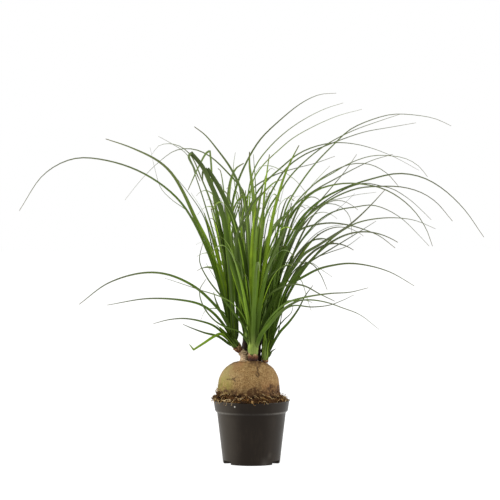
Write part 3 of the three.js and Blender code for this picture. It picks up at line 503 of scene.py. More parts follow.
def neckPieces(head):
    stops = list(head["neck"]) + [(head["seat"], head["collar"][1] + 0.3)]
    pieces = []
    for (foot, r0), (top, r1) in zip(stops, stops[1:]):
        axis = Vector(top) - Vector(foot)
        middle = (Vector(top) + Vector(foot)) / 2 * mm
        turn = axis.to_track_quat("Z", "Y").to_euler()
        bpy.ops.mesh.primitive_cone_add(vertices=32, radius1=r0 * mm, radius2=r1 * mm, depth=axis.length * mm,
                                        location=middle, rotation=turn)
        settle(bpy.context.active_object)
        pieces.append(bpy.context.active_object)
    return pieces


# How near each point is to a stroke on the front, from 0 to 1
def strokeShare(coords, stroke, width):
    spot = np.full(len(coords), 1e9)
    for (x0, z0), (x1, z1) in zip(stroke, stroke[1:]):
        start, run = np.array([x0, z0]), np.array([x1 - x0, z1 - z0])
        offset = coords[:, [0, 2]] - start
        t = np.clip(offset @ run / max(run @ run, 1e-9), 0, 1)
        spot = np.minimum(spot, np.hypot(*(offset - t[:, None] * run).T))
    return np.exp(-(spot / width) ** 2) * (coords[:, 1] < 0)


def strokesShare(coords, kind):
    return np.maximum.reduce([strokeShare(coords, *row) for row in caudexShape[kind]])


# Gives the skin its lumps, cork, rings and cracks, and marks where each colour goes
def roughen(caudex):
    s = caudexShape
    coords = points(caudex) / mm
    normals = np.empty(coords.size)
    caudex.data.vertices.foreach_get("normal", normals)
    cork = np.array([noise.fractal(Vector((p[0], p[1], p[2] * 1.4)) / 3.2, 0.8, 2.1, 3) for p in coords])
    wander = lumpiness(coords, 8)
    scar = np.clip(strokesShare(coords, "cracks") * (0.7 + 1.1 * lumpiness(coords, 1.5)), 0, 1)
    onNeck = ease(152, 160, coords[:, 2])
    wave = np.sin(coords[:, 2] * 2.1 + 0.6 * np.sin(coords[:, 0]) + 2 * wander)
    lift = (s["lumps"] * lumpiness(coords, 13) + s["cork"] * cork) * (1 - 0.5 * onNeck)
    lift = lift + onNeck * s["rings"] * wave - s["scarDepth"] * scar
    sunk = ease(100, 70, coords[:, 2])
    coords = coords + normals.reshape(-1, 3) * (lift * (1 - sunk) - 0.2 * sunk)[:, None]
    place(caudex, coords * mm)
    x, y, z = coords.T
    low = ease(127, 108, z + 12 * wander)
    top = 0.5 * ease(144, 156, z + 6 * wander)
    front = 0.75 * ease(150, 155.5, z + 3 * wander) * ease(13, 7, np.abs(x - 5))
    stain = ease(0.15, 0.6, wander) * ease(-30, 8, x) * ease(126, 112, z)
    dirt = low + top * (y > -14) + front + stain + 1.1 * strokesShare(coords, "smears")
    redSide = ease(5, 30, x + 10 * wander) * ease(140, 115, z)
    mark(
        caudex,
        scar=np.clip(scar * 1.3 - 0.15, 0, 0.85),
        green=ease(-20, -46, x + 6 * wander) * ease(98, 118, z) * ease(165, 150, z) * 0.85,
        ruddy=redSide * 0.7 + 0.9 * strokesShare(coords, "brow"),
        grey=ease(-10, -44, x + 12 * wander) * ease(120, 146, z) * 0.5,
        neck=ease(150, 155, z + 3 * wander) * ease(11, 8, np.hypot(x + 10.7, y + 3)) * 0.9,
        ring=np.clip(0.3 - 0.9 * wave, 0, 1),
        dirt=np.clip(dirt, 0, 1),
    )


# Soil: peat filling, heaped at the left, with loose crumbs, bark and coir fibres. Some of it spills over
# the rim at the left heap and at the front.
soilShape = dict(
    level=97.2, mound=9, lean=3.2, highAt=3.5, slope=11, leftHeap=6.5, heapAt=3.25, heapWidth=0.5,
    segments=168, rings=34, frontAt=4.75, frontWidth=0.4, edge=59.4, lowest=96, overWall=98.2, wallAt=55,
    heapHeights=(98.5, 105), frontHeights=(98.5, 100),
    chips=900, chipReach=(43, 57.4), rimReach=(56, 59.5), chipRise=(-0.3, 0.5), chipTurn=0.5,
    chipSmallest=0.45, chipGrowth=2.6, chipShape=((0.8, 1.9), (0.6, 1.1), (0.3, 0.8)),
    stuck=130, stuckSize=(0.4, 1.4), stuckShape=((0.7, 1.6), (0.6, 1.2)),
    fibres=300, fibreReach=(44, 58), fibreRimReach=(57, 61), fibreLong=(4, 14), fibreThick=(0.25, 0.55),
    fibreTones=(0.6, 1.0), onRim=98.4, farthest=62.5, hang=5, hangs=(60.2, 62.2),
)
peatLook = dict(
    hollow=(0.003, 0.0014, 0.0005), peat=(0.022, 0.009, 0.002), crumb=(0.15, 0.075, 0.02),
    clump=(0.03, 0.014, 0.006),
)


def peatMaterial():
    look = peatLook
    made = Recipe("peat", 0.05)
    grain = made.speckle(0.0016, 5, 0.7)
    made.ramp(grain, (0.34, look["hollow"]), (0.5, look["peat"]), (0.68, look["crumb"]))
    made.over(made.range(made.speckle(0.008, 3), 0.4, 0.65), look["clump"])
    made.bump(grain, 0.0012)
    return made.done(0.95)


def potInside(z):
    s = potShape
    up = (z - s["bandFoot"]) / (s["height"] - s["bandFoot"])
    return s["band"] + (s["rim"] - 0.8 - s["band"]) * up - s["wall"] - 0.3


def soilTop(turn, r):
    s = soilShape
    turn = np.mod(turn, 2 * math.pi)
    inward = potInside(s["level"]) - r
    mound = s["mound"] + s["lean"] * np.cos(turn - s["highAt"])
    rise = np.sin(np.clip(inward / s["slope"], 0, 1) * math.pi / 2)
    heap = s["leftHeap"] * np.exp(-((turn - s["heapAt"]) / s["heapWidth"]) ** 2)
    lumps = 1.1 * np.sin(7 * turn + r / 5) + 0.9 * np.sin(11 * turn - r / 3)
    return s["level"] + mound * rise + heap * np.clip(inward / 3, 0, 1) + lumps * np.clip(inward / 4, 0, 1)


def makeSoil():
    s, p = soilShape, potShape
    edge = potInside(s["level"]) - 0.2
    rings = [(p["foot"] - 3.3, p["floor"] + 0.3), (p["foot"] - 1.7, p["floor"] + 2.2),
             (p["bodyTop"] - 1.6, p["bodyTopHeight"] + 0.9),
             (potInside(p["bandFoot"]) - 0.3, p["bandFoot"] + 0.9), (edge, s["level"] - 0.4)]
    rings += [(edge * (1 - k / s["rings"] * 0.45), s["level"]) for k in range(1, s["rings"] + 1)]
    soil = turnedBody(rings, s["segments"], "soil_mound")
    for turn in channelTurns():
        cut(soil, channelRoof(turn, -3, 0.3))
    coords = points(soil) / mm
    r = np.hypot(coords[:, 0], coords[:, 1])
    turn = np.arctan2(coords[:, 1], coords[:, 0])
    crumble = np.array([noise.fractal(Vector(p) / 3.4, 0.7, 2.2, 4) for p in coords])
    top = soilTop(turn, r) + 1.5 * crumble * np.clip((edge - r) / 3, 0, 1)
    coords[:, 2] = np.where(coords[:, 2] > s["level"] - 0.3, top, coords[:, 2])
    place(soil, coords * mm)
    smooth(soil, 60)
    return finished(soil, peatMaterial(), ["soil"])


def anyTurn(draw):
    tilt = soilShape["chipTurn"]
    turnBy = Vector((draw.gauss(0, tilt), draw.gauss(0, tilt), 1)).to_track_quat("Z", "Y")
    return turnBy @ Matrix.Rotation(draw.uniform(0, 6.28), 3, "Z").to_quaternion()


def atFront(turn):
    return abs(turn - soilShape["frontAt"]) < soilShape["frontWidth"]


# Where one loose crumb lies, how it is turned, its half sizes and its tone
def looseChip(draw):
    s = soilShape
    turn = draw.uniform(0, 2 * math.pi)
    if draw.random() < 0.3:
        turn = draw.gauss(s["heapAt"], s["heapWidth"])
    r = draw.uniform(*s["chipReach"])
    size = draw.random() ** 3 * s["chipGrowth"] + s["chipSmallest"]
    z = float(soilTop(turn, r)) + draw.uniform(*s["chipRise"]) * size
    overRim = abs(turn - s["heapAt"]) < 0.6 and draw.random() < 0.5
    if atFront(turn):
        overRim = draw.random() < 0.35
    if overRim:
        r = draw.uniform(*s["rimReach"])
        z = draw.uniform(*s["heapHeights" if turn < 4 else "frontHeights"])
    shape = [size * draw.uniform(*span) for span in s["chipShape"]]
    reach = r if overRim else min(r, s["edge"] - shape[0])
    z = max(z, s["overWall" if reach > s["wallAt"] else "lowest"])
    where = (reach * math.cos(turn), reach * math.sin(turn), z)
    return where, anyTurn(draw), shape, draw.random() ** 1.6 * 0.85


# A crumb that sticks to the foot of the caudex
def stuckChip(draw):
    s = caudexShape
    turn = draw.uniform(0, 2 * math.pi)
    z = draw.uniform(-14, 3) if draw.random() < 0.6 else draw.uniform(-12, -4)
    if z < 0:
        r = s["radius"] * math.sqrt(max(0, 1 - (z / s["below"]) ** 2))
    else:
        r = s["radius"] * (1 - (z / s["above"]) ** s["shoulder"]) ** (1 / s["shoulder"])
    size = draw.uniform(*soilShape["stuckSize"])
    r = r * float(caudexFlare(turn, z)) + 0.1
    turnBy = Vector((math.cos(turn), math.sin(turn), 0)).to_track_quat("Z", "Y")
    shape = [size * draw.uniform(*span) for span in soilShape["stuckShape"]] + [size * 0.5]
    where = np.array(s["centre"]) + (r * math.cos(turn), r * math.sin(turn), z)
    return where, turnBy, shape, draw.random() * 0.5


def makeChips():
    draw = random.Random(7)
    bpy.ops.mesh.primitive_ico_sphere_add(subdivisions=1, radius=1)
    chip = bpy.context.active_object
    base = points(chip)
    for p in base:
        p *= 1 + 0.3 * noise.noise(Vector(p) * 1.7)
    place(chip, base)
    smooth(chip, 25)
    base = points(chip)
    copies, tones = [], []
    spots = [looseChip(draw) for _ in range(soilShape["chips"])]
    spots += [stuckChip(draw) for _ in range(soilShape["stuck"])]
    for where, turnBy, size, tone in spots:
        turned = (base * np.array(size)) @ np.array(turnBy.to_matrix()).T
        copies.append(twin(chip, turned + np.array(where)))
        tones += [tone] * len(base)
    bpy.data.objects.remove(chip)
    return finished(joinAll(copies, "soil_chips", tones), dryMaterial(barkLook))


# Bends the blank strand along the ground at its place, and hangs what reaches past the rim
def fibreSpots(draw, base, k):
    s = soilShape
    atLeft = draw.random() < 0.35
    turn = draw.gauss(s["heapAt"], s["heapWidth"]) if atLeft else draw.uniform(0, 2 * math.pi)
    spills = atLeft or atFront(turn)
    r = draw.uniform(*s["fibreReach" if k % 3 or not spills else "fibreRimReach"])
    long = draw.uniform(*s["fibreLong"])
    z = float(soilTop(turn, min(r, s["fibreRimReach"][0]))) + 0.9
    heading = draw.uniform(0, 2 * math.pi)
    tilt = abs(draw.gauss(0.05, 0.5))
    bend = draw.uniform(-0.9, 0.9)
    t = (base[:, 2] + 1) / 2
    course = heading + bend * (t - 0.5) * 2
    x = r * math.cos(turn) + long * (t - 0.5) * np.cos(course)
    y = r * math.sin(turn) + long * (t - 0.5) * np.sin(course)
    far = np.maximum(1, np.hypot(x, y) / (s["farthest"] if spills else potShape["rim"]))
    rise = z + long * t * math.sin(tilt) + 0.9 * np.sin(t * 5 + k)
    thick = draw.uniform(*s["fibreThick"]) * (1 - 0.6 * t)
    side = np.stack([-np.sin(course), np.cos(course), 0 * t], axis=1)
    hung = s["hang"] * ease(*s["hangs"], np.hypot(x, y) / far)
    coords = np.stack([x / far, y / far, np.maximum(rise, s["onRim"]) - hung], axis=1)
    return coords + side * (base[:, 0] * thick)[:, None] + np.array([0, 0, 1]) * (base[:, 1] * thick)[:, None]


def makeFibres():
    draw = random.Random(19)
    strand = stalkBlank(5, 8)
    base = points(strand)
    pieces, tones = [], []
    for k in range(soilShape["fibres"]):
        pieces.append(twin(strand, fibreSpots(draw, base, k)))
        tones += [draw.uniform(*soilShape["fibreTones"])] * len(base)
    bpy.data.objects.remove(strand)
    whole = joinAll(pieces, "soil_fibres", tones)
    outwardFaces(whole)
    smooth(whole, 60)
    return finished(whole, dryMaterial(barkLook))


# Heads: each stands on its neck and keeps to its own sector of directions. The collar is its height and
# its radius below and above, and dry is its tone below and above. Fill is how the leaves behind those listed
# one by one stand, and tone the darkest of them. Extra counts the thin ones inside, near is how far out they
# reach as a share, and pale is how light the feet of the leaves are.
heads = {
    "left": dict(
        seat=(-17, -4, 174), lean=(-0.62, -0.03, 0.78), sector=(150, 215), foot=3.6, radius=6.2, height=30,
        collar=(10, 5.2, 7.8), dry=(0.4, 1.0), neck=[((-10.5, -3, 146), 8), ((-10.8, -3, 168), 6.4)],
        fill=dict(count=7, fan=(160, 206), reach=(18, 50), top=(440, 380), side=60),
        seed=101, pale=0.12, extra=4, near=0.6, tone=0.1,
    ),
    "back": dict(
        seat=(-10.6, 14, 172.5), lean=(0.16, 0.14, 0.98), sector=(30, 150), foot=3.2, radius=3.8, height=36,
        # Its collar's dry tones are the darkest: partly the dry bases' own dark brown, partly painted shade,
        # as it sits behind the other heads.
        collar=(16, 5.9, 6.3), dry=(0.0, 0.2), neck=[((-11.5, 6, 146), 8), ((-11.5, 11, 162), 6)],
        fill=dict(count=16, fan=(36, 146), reach=(40, 265), top=(455, 270), side=80),
        seed=102, pale=0.2, extra=14, near=0.6, tone=0.1,
    ),
    "centre": dict(
        seat=(2.2, -15, 160.5), lean=(0, -0.05, 1), sector=(215, 350), foot=5.6, radius=7.2, height=36,
        collar=(10, 8, 7.9), dry=(0.25, 1.0), neck=[((1.5, -12, 144), 10.5)],
        fill=dict(count=13, fan=(222, 338), reach=(40, 200), top=(440, 300), side=60),
        seed=103, pale=0.75, extra=16, near=0.3, tone=0.34,
    ),
    "right": dict(
        seat=(21.2, 0, 156), lean=(0.05, 0, 1), sector=(-10, 30), foot=3.4, radius=4.6, height=30,
        collar=(4.5, 4.8, 5.6), dry=(0.45, 1.0), neck=[((18, 0, 142), 8)],
        fill=dict(count=6, fan=(-6, 27), reach=(40, 200), top=(430, 330), side=220),
        seed=104, pale=0.4, extra=8, near=0.6, tone=0.12,
    ),
}
crownShape = dict(
    tipShare=0.5, swell=2.2, rootRise=3.3, rootSpread=7, rootShare=0.5, slack=0.4,
    fill=dict(wide=(5, 8), turns=((-10, 45), (0, 45)), toneSpread=0.5, tonePhase=0.7),
    extra=dict(wide=(2.5, 4.5), turns=((10, 60), (10, 50)), tone=0.08, toneSpread=0.37, tonePhase=0),
)
bladeShape = dict(
    segments=44, across=4, tipShare=0.18, thick=0.45, fold=0.42, sideTurn=30, foldAt=0.72, faded=0.65,
    fadedReach=(50, 140), fadedAlong=(0.25, 0.8),
)
leafLook = dict(
    darkest=(0.011, 0.024, 0.002), deep=(0.064, 0.12, 0.007), fresh=(0.17, 0.28, 0.01),
    lightest=(0.26, 0.39, 0.016), dull=(0.065, 0.1, 0.035), cloud=(0.02, 0.045, 0.006),
    # The fold colour is painted shade on one half of each blade.
    vein=(0.1, 0.14, 0.03), fold=(0.03, 0.062, 0.006), ageing=(0.09, 0.082, 0.068),
    shade=(0.008, 0.018, 0.003), pale=(0.22, 0.27, 0.07), faded=(0.05, 0.048, 0.034), tip=(0.06, 0.05, 0.02),
)

# The leaves that stand out in the photograph, in millimetres as seen from the front: the points that each
# passes, how far back its tip lies, its width, how it is turned at its root and its tip, its tone, how it
# tapers, and where the end of a folded one hangs
leadLeaves = {
    "left": [
        ([(-43, 249), (-72, 338), (-111, 407), (-164, 449), (-224, 471), (-277, 474), (-323, 450),
          (-362, 393)], -50, 8, (50, 25), 0.3, 1.4),
        ([(-41, 254), (-66, 337), (-88, 382), (-108, 425), (-125, 452), (-146, 471), (-189, 492),
          (-227, 505)], 30, 9, (62, 40), 0.6, 1.8),
        ([(-46, 266), (-63, 343), (-74, 383), (-99, 422), (-121, 449)], 20, 4, (30, 20), 0.35, 1.5),
        ([(-41, 277), (-58, 347), (-76, 393), (-94, 421)], -10, 3, (30, 20), 0.7, 1.5),
        ([(-38, 257), (-46, 293), (-55, 329), (-65, 363), (-74, 390)], -8, 8, (60, 60), 0.95, 2.3),
        ([(-37, 266), (-44, 319), (-52, 366), (-63, 405), (-77, 441), (-96, 481), (-118, 496), (-143, 495),
          (-155, 481)], 20, 5.5, (45, 20), 0.45, 1.6),
        ([(-43, 277), (-54, 337), (-69, 391), (-85, 441), (-100, 480), (-125, 498),
          (-145, 509)], 45, 4, (30, 20), 0.4, 1.5),
        ([(-46, 288), (-71, 346), (-99, 391), (-124, 410), (-141, 428), (-150, 456),
          (-158, 492)], -40, 4, (30, 20), 0.4, 1.5),
        ([(-38, 220), (-62, 251), (-91, 276), (-132, 294), (-171, 296), (-224, 280),
          (-269, 247)], -60, 6.5, (50, 30), 0.4, 1.5),
        ([(-38, 207), (-60, 234), (-80, 247), (-111, 254), (-163, 256), (-225, 246)], 20, 5.5, (45, 30),
          0.3, 1.4),
        ([(-35, 192), (-58, 213), (-80, 221), (-105, 225), (-130, 223), (-153, 217)], -40, 4.5, (45, 30),
          0.3, 1.4),
        ([(-32, 184), (-52, 197), (-74, 203), (-93, 210), (-107, 216)], -15, 4.5, (50, 40), 0.25, 1.5),
        ([(-37, 193), (-48, 201), (-57, 198), (-74, 187), (-91, 176)], -30, 4.5, (60, 60),
          0.6, 2.8, [(-97, 185)]),
        ([(-37, 226), (-48, 238), (-60, 241), (-72, 237), (-79, 223)], 15, 3, (30, 20), 0.3, 1.5),
        ([(-35, 210), (-48, 235), (-56, 254), (-59, 266)], -10, 6, (60, 60), 0.5, 1.9),
        ([(-35, 235), (-52, 280), (-63, 298), (-71, 312)], 10, 2.6, (30, 20), 0.6, 1.5),
        ([(-33, 220), (-37, 277), (-41, 329), (-51, 377), (-58, 410), (-62, 441), (-63, 464),
          (-65, 487)], -12, 6.5, (55, 50), 0.4, 2.0, [(-70, 483), (-83, 460), (-99, 425)]),
        ([(-30, 207), (-33, 254), (-38, 301), (-46, 347), (-54, 386), (-60, 416)], 12, 8, (66, 60),
          0.95, 2.1),
        ([(-32, 215), (-37, 270), (-43, 313), (-52, 355), (-63, 397)], 22, 8, (66, 60), 1.0, 2.1),
        ([(-27, 199), (-30, 246), (-32, 288), (-35, 332), (-43, 366)], -3, 8, (55, 40), 0.15, 1.9),
        ([(-23, 195), (-22, 220), (-22, 254), (-26, 298), (-32, 347)], 4, 7, (60, 50), 0.05, 1.9),
    ],
    "back": [
        ([(-16, 301), (-26, 358), (-30, 397), (-23, 432), (-9, 466), (13, 503), (41, 531), (80, 562),
          (107, 574), (132, 576)], 108, 5.5, (50, 30), 0.35, 1.4),
        ([(-5, 332), (-12, 421), (-32, 447), (-65, 478), (-91, 489), (-118, 487), (-144, 469), (-172, 441),
          (-197, 410)], 124, 4.5, (45, 30), 0.3, 1.4),
        ([(-2, 313), (-7, 382), (-16, 425), (-32, 459), (-52, 487), (-72, 511),
          (-89, 524)], 66, 7, (72, 60), 0.3, 1.6),
        ([(-21, 254), (-30, 316), (-36, 371), (-36, 410), (-32, 441), (-24, 459),
          (-12, 467)], 85, 9.5, (10, 10), 0.5, 2.9),
        ([(1, 301), (5, 355), (4, 402), (0, 441), (-3, 464), (-3, 485)], 50, 9, (12, 12), 0.55, 3.1),
        ([(-2, 308), (7, 371), (7, 416), (5, 453), (3, 481)], 80, 4, (20, 20), 0.4, 1.7),
        ([(-9, 270), (-15, 313), (-24, 351), (-33, 388)], 45, 8, (68, 60), 0.1, 2.5),
        ([(-2, 285), (-5, 332), (-7, 371), (-9, 410)], 30, 7.5, (8, 8), 0.28, 2.5),
        ([(-13, 293), (-19, 386), (-27, 441), (-28, 463), (-25, 484)], 100, 3, (30, 20), 0.5, 1.5),
        ([(-7, 324), (-7, 397), (-1, 441), (9, 467), (30, 494), (55, 517), (83, 536), (115, 552),
          (143, 561)], 132, 4, (40, 30), 0.65, 1.4),
        ([(-4, 324), (-4, 391), (2, 438), (18, 464), (43, 488), (63, 505), (94, 523), (135, 541),
          (172, 551)], 152, 3.6, (40, 30), 0.7, 1.4),
        ([(7, 313), (16, 366), (29, 400), (44, 422), (60, 446), (80, 467), (105, 488), (130, 504),
          (161, 519), (200, 533), (233, 544)], 168, 5, (45, 30), 0.4, 1.4),
        ([(2, 319), (12, 372), (24, 407), (38, 435), (55, 460), (82, 480), (115, 494), (146, 506),
          (177, 516), (216, 523), (256, 530)], 182, 5.5, (45, 30), 0.35, 1.4),
        ([(-7, 332), (-4, 394), (9, 422), (26, 442), (46, 460), (72, 481), (99, 493), (130, 499),
          (161, 497), (192, 489), (224, 476), (261, 456)], 180, 5.5, (50, 30), 0.35, 1.4),
        ([(-13, 329), (-13, 386), (-7, 416), (7, 432), (37, 449), (68, 459), (99, 467),
          (130, 478)], 122, 4.5, (45, 30), 0.3, 1.5),
        ([(-13, 313), (-12, 363), (-2, 393), (10, 411), (24, 427), (37, 438),
          (49, 442)], 60, 7.5, (60, 45), 0.6, 2.1),
        ([(-9, 254), (-13, 308), (-21, 351), (-26, 388), (-18, 410), (-12, 425)], 40, 5.5, (20, 15),
          0.3, 1.5),
    ],
    "centre": [
        ([(1, 220), (-4, 270), (-12, 319), (-21, 355), (-35, 396), (-52, 432),
          (-69, 459)], -75, 8, (-60, -50), 0.15, 3.8, [(-75, 454), (-76, 438)]),
        ([(-2, 215), (-12, 257), (-27, 301), (-37, 338), (-41, 369), (-51, 405), (-63, 433), (-76, 461),
          (-95, 484)], -92, 8, (-60, -50), 0.2, 3.8, [(-98, 478), (-90, 460), (-80, 439)]),
        ([(-5, 223), (-21, 273), (-33, 316), (-36, 354), (-30, 390), (-16, 414), (4, 412), (23, 397),
          (38, 363), (54, 340)], -68, 6, (-45, -30), 0.6, 1.2),
        ([(2, 207), (-7, 252), (-20, 299), (-29, 332), (-30, 360), (-24, 386),
          (-15, 410)], -42, 6.5, (-45, -40), 0.45, 1.6),
        ([(-1, 215), (-2, 257), (-6, 301), (-12, 332), (-15, 366), (-12, 397),
          (-9, 425)], -32, 7.5, (-45, -40), 0.68, 1.9),
        ([(1, 199), (1, 254), (0, 301), (1, 340), (3, 371), (7, 400)], -70, 9, (-10, -10), 0.95, 2.1),
        ([(5, 199), (6, 254), (7, 301), (9, 335), (12, 366), (19, 397), (29, 422)], -55, 8, (-36, -36),
          0.6, 1.9),
        ([(10, 206), (10, 262), (12, 308), (15, 347), (18, 383), (20, 418), (24, 453),
          (28, 481)], -45, 7, (-42, -36), 0.95, 1.5),
        ([(4, 215), (9, 277), (13, 332), (16, 371), (18, 402)], -60, 7.5, (-25, -25), 0.65, 2.3),
        ([(12, 215), (16, 270), (23, 321), (29, 360), (35, 391), (43, 421), (52, 449), (63, 474),
          (74, 495)], -65, 8, (-45, -45), 0.7, 2.1),
        ([(4, 192), (9, 232), (16, 270), (26, 308), (40, 343), (57, 377), (79, 407), (104, 426),
          (138, 435), (169, 435), (203, 428), (231, 413), (255, 391), (272, 365),
          (282, 338)], -92, 6.5, (55, 25), 0.45, 1.4),
        ([(16, 246), (35, 301), (55, 343), (79, 383), (110, 411), (146, 429), (185, 442), (228, 451),
          (263, 446), (294, 430), (330, 397), (362, 352)], -98, 7.5, (60, 25), 0.3, 1.4),
        ([(19, 251), (40, 304), (60, 344), (83, 380), (110, 402), (138, 418), (166, 428), (197, 431),
          (234, 430), (263, 422), (287, 407), (313, 377)], -120, 7, (60, 25), 0.2, 1.4),
        ([(21, 266), (38, 313), (65, 361), (93, 391), (122, 413), (153, 430), (178, 436), (200, 432),
          (220, 427), (247, 410), (266, 393), (280, 379)], -74, 5, (50, 25), 0.3, 1.4),
        ([(16, 313), (29, 352), (49, 383), (76, 409), (104, 428), (133, 444), (161, 459), (189, 472),
          (220, 481)], -68, 6.5, (55, 25), 0.4, 1.4),
        ([(16, 254), (30, 316), (51, 366), (71, 407), (88, 425), (107, 442), (132, 457), (157, 466),
          (185, 465), (210, 452), (230, 430)], -82, 5.5, (50, 25), 0.35, 1.4),
        ([(13, 270), (26, 327), (46, 371), (74, 411), (100, 436), (127, 452), (153, 467), (185, 478),
          (213, 479), (241, 474), (261, 462), (274, 446)], -70, 5, (50, 25), 0.5, 1.4),
        ([(26, 235), (46, 276), (68, 307), (83, 326), (104, 339), (127, 354), (149, 368), (169, 385),
          (189, 405), (208, 426)], -95, 8, (60, 40), 0.15, 1.8),
        ([(16, 201), (26, 213), (41, 231), (62, 247), (80, 254), (95, 250)], -92, 7, (-55, -55), 0.35, 2.7),
        ([(13, 198), (32, 229), (55, 249), (83, 258), (122, 264), (153, 266),
          (182, 273)], -128, 5.5, (50, 30), 0.3, 1.5),
        ([(7, 220), (16, 246), (33, 266), (60, 278), (82, 276), (107, 263),
          (130, 252)], -62, 5.5, (50, 30), 0.38, 1.5),
        ([(15, 260), (32, 294), (49, 305), (69, 312), (85, 313), (97, 308), (108, 293),
          (118, 270)], -70, 4.2, (50, 30), 0.2, 1.5),
        ([(4, 332), (1, 397), (4, 444), (13, 461), (29, 463), (48, 455), (68, 441),
          (83, 424)], -50, 4, (40, 20), 0.5, 1.4),
        ([(19, 235), (40, 282), (60, 319), (85, 354), (110, 379), (135, 396),
          (161, 420)], -66, 4, (40, 20), 0.35, 1.5),
        ([(-7, 204), (-26, 232), (-46, 258), (-69, 288), (-81, 315), (-76, 343)], -88, 3.8, (-50, -40),
          0.2, 1.8),
        ([(-7, 190), (-19, 204), (-40, 211), (-60, 224), (-76, 246), (-81, 268),
          (-71, 287)], -84, 3.8, (-50, -40), 0.2, 1.6),
        ([(-7, 215), (-24, 243), (-44, 257), (-82, 270), (-105, 278), (-135, 288)], -118, 3.6, (45, 30),
          0.42, 1.4),
        ([(9, 210), (15, 254), (23, 293), (38, 332), (51, 360), (58, 388)], -110, 6.5, (-40, -35),
          0.3, 1.9),
        ([(-4, 231), (-16, 280), (-24, 319), (-21, 360), (-7, 390), (7, 411),
          (23, 425)], -100, 6.5, (-20, -20), 0.15, 1.9),
    ],
    "right": [
        ([(33, 246), (38, 308), (45, 355), (55, 399), (76, 435), (100, 467), (127, 495), (153, 519),
          (185, 534), (219, 543), (255, 542), (287, 536), (311, 525)], -38, 6.5, (50, 25), 0.35, 1.4),
        ([(40, 254), (54, 298), (69, 332), (93, 366), (115, 385), (138, 395), (163, 399), (185, 402),
          (206, 397), (234, 381), (259, 357), (277, 338)], 30, 5, (50, 25), 0.35, 1.4),
        ([(41, 235), (52, 263), (72, 293), (99, 323), (122, 347), (146, 365), (167, 375), (197, 381),
          (227, 382), (255, 378), (287, 365)], 95, 6, (55, 25), 0.4, 1.5),
        ([(35, 254), (44, 304), (60, 343), (77, 364), (99, 371), (124, 374), (150, 371), (172, 365),
          (199, 354), (224, 335)], -32, 6, (55, 25), 0.3, 1.5),
        ([(41, 231), (52, 266), (69, 294), (91, 313), (115, 328), (138, 342), (169, 361),
          (194, 377)], -18, 5.5, (50, 25), 0.3, 1.5),
        ([(43, 241), (58, 279), (77, 304), (99, 319), (124, 329), (149, 338), (170, 353)], 25, 4, (45, 25),
          0.4, 1.5),
        ([(32, 192), (41, 231), (51, 259), (62, 279), (79, 289), (104, 302), (127, 308), (153, 311),
          (185, 307), (217, 297), (254, 276)], 40, 6.5, (50, 25), 0.4, 1.4),
        ([(40, 266), (54, 319), (72, 360), (93, 390), (116, 407), (138, 412), (164, 418),
          (194, 422)], 68, 3.6, (40, 25), 0.4, 1.5),
        ([(37, 273), (51, 321), (71, 366), (94, 396), (118, 404), (136, 401), (152, 386),
          (157, 352)], -24, 4, (40, 25), 0.35, 1.5),
        ([(44, 288), (62, 337), (80, 375), (104, 405), (127, 432), (146, 455),
          (164, 481)], 72, 4.5, (45, 25), 0.35, 1.6),
        ([(43, 308), (58, 360), (74, 400), (88, 425), (104, 444), (122, 463)], 42, 3, (40, 25), 0.7, 1.5),
        ([(48, 266), (60, 304), (74, 329), (86, 343), (102, 358), (122, 368),
          (149, 372)], -14, 3.6, (40, 25), 0.4, 1.5),
        ([(33, 201), (38, 231), (51, 250), (71, 253), (94, 254), (118, 250), (141, 242), (169, 231),
          (199, 208)], 75, 4, (45, 30), 0.4, 1.4),
        ([(37, 207), (48, 235), (65, 245), (94, 243), (122, 246), (141, 253),
          (160, 262)], -20, 3.6, (40, 30), 0.4, 1.5),
        ([(38, 235), (55, 282), (76, 308), (93, 312), (108, 302), (126, 290)], 32, 3.4, (40, 30),
          0.35, 1.5),
        ([(38, 232), (54, 266), (68, 284), (76, 286), (81, 276), (86, 259), (93, 237)], 22, 3.6, (40, 30),
          0.3, 1.5),
        ([(31, 181), (44, 203), (60, 221), (74, 241), (83, 259), (96, 277)], -12, 5.2, (55, 40), 0.3, 1.8),
        ([(31, 187), (40, 209), (51, 223), (62, 234), (65, 245)], 12, 3.4, (40, 30), 0.3, 1.6),
        ([(31, 181), (40, 196), (44, 213), (48, 234), (54, 257)], -5, 3.4, (40, 30), 0.25, 1.6),
        ([(28, 182), (32, 210), (39, 241), (49, 273), (65, 304), (83, 332), (104, 357)], 8, 7, (60, 50),
          0.75, 1.8),
        ([(22, 195), (22, 226), (26, 262), (32, 298), (40, 332), (51, 366)], 15, 8, (60, 50), 0.02, 1.8),
        ([(20, 198), (19, 226), (22, 257), (28, 293), (37, 329)], 5, 8, (60, 50), 0.1, 1.8),
        ([(29, 199), (33, 246), (41, 285), (54, 323), (71, 357), (90, 382)], 22, 7.5, (60, 50), 0.25, 1.8),
        ([(27, 207), (30, 254), (35, 298), (43, 335), (52, 371), (63, 405)], 35, 7, (60, 50), 0.35, 1.7),
        ([(28, 167), (32, 174), (38, 178)], -2, 3.6, (60, 50), 0.12, 1.9),
    ],
}


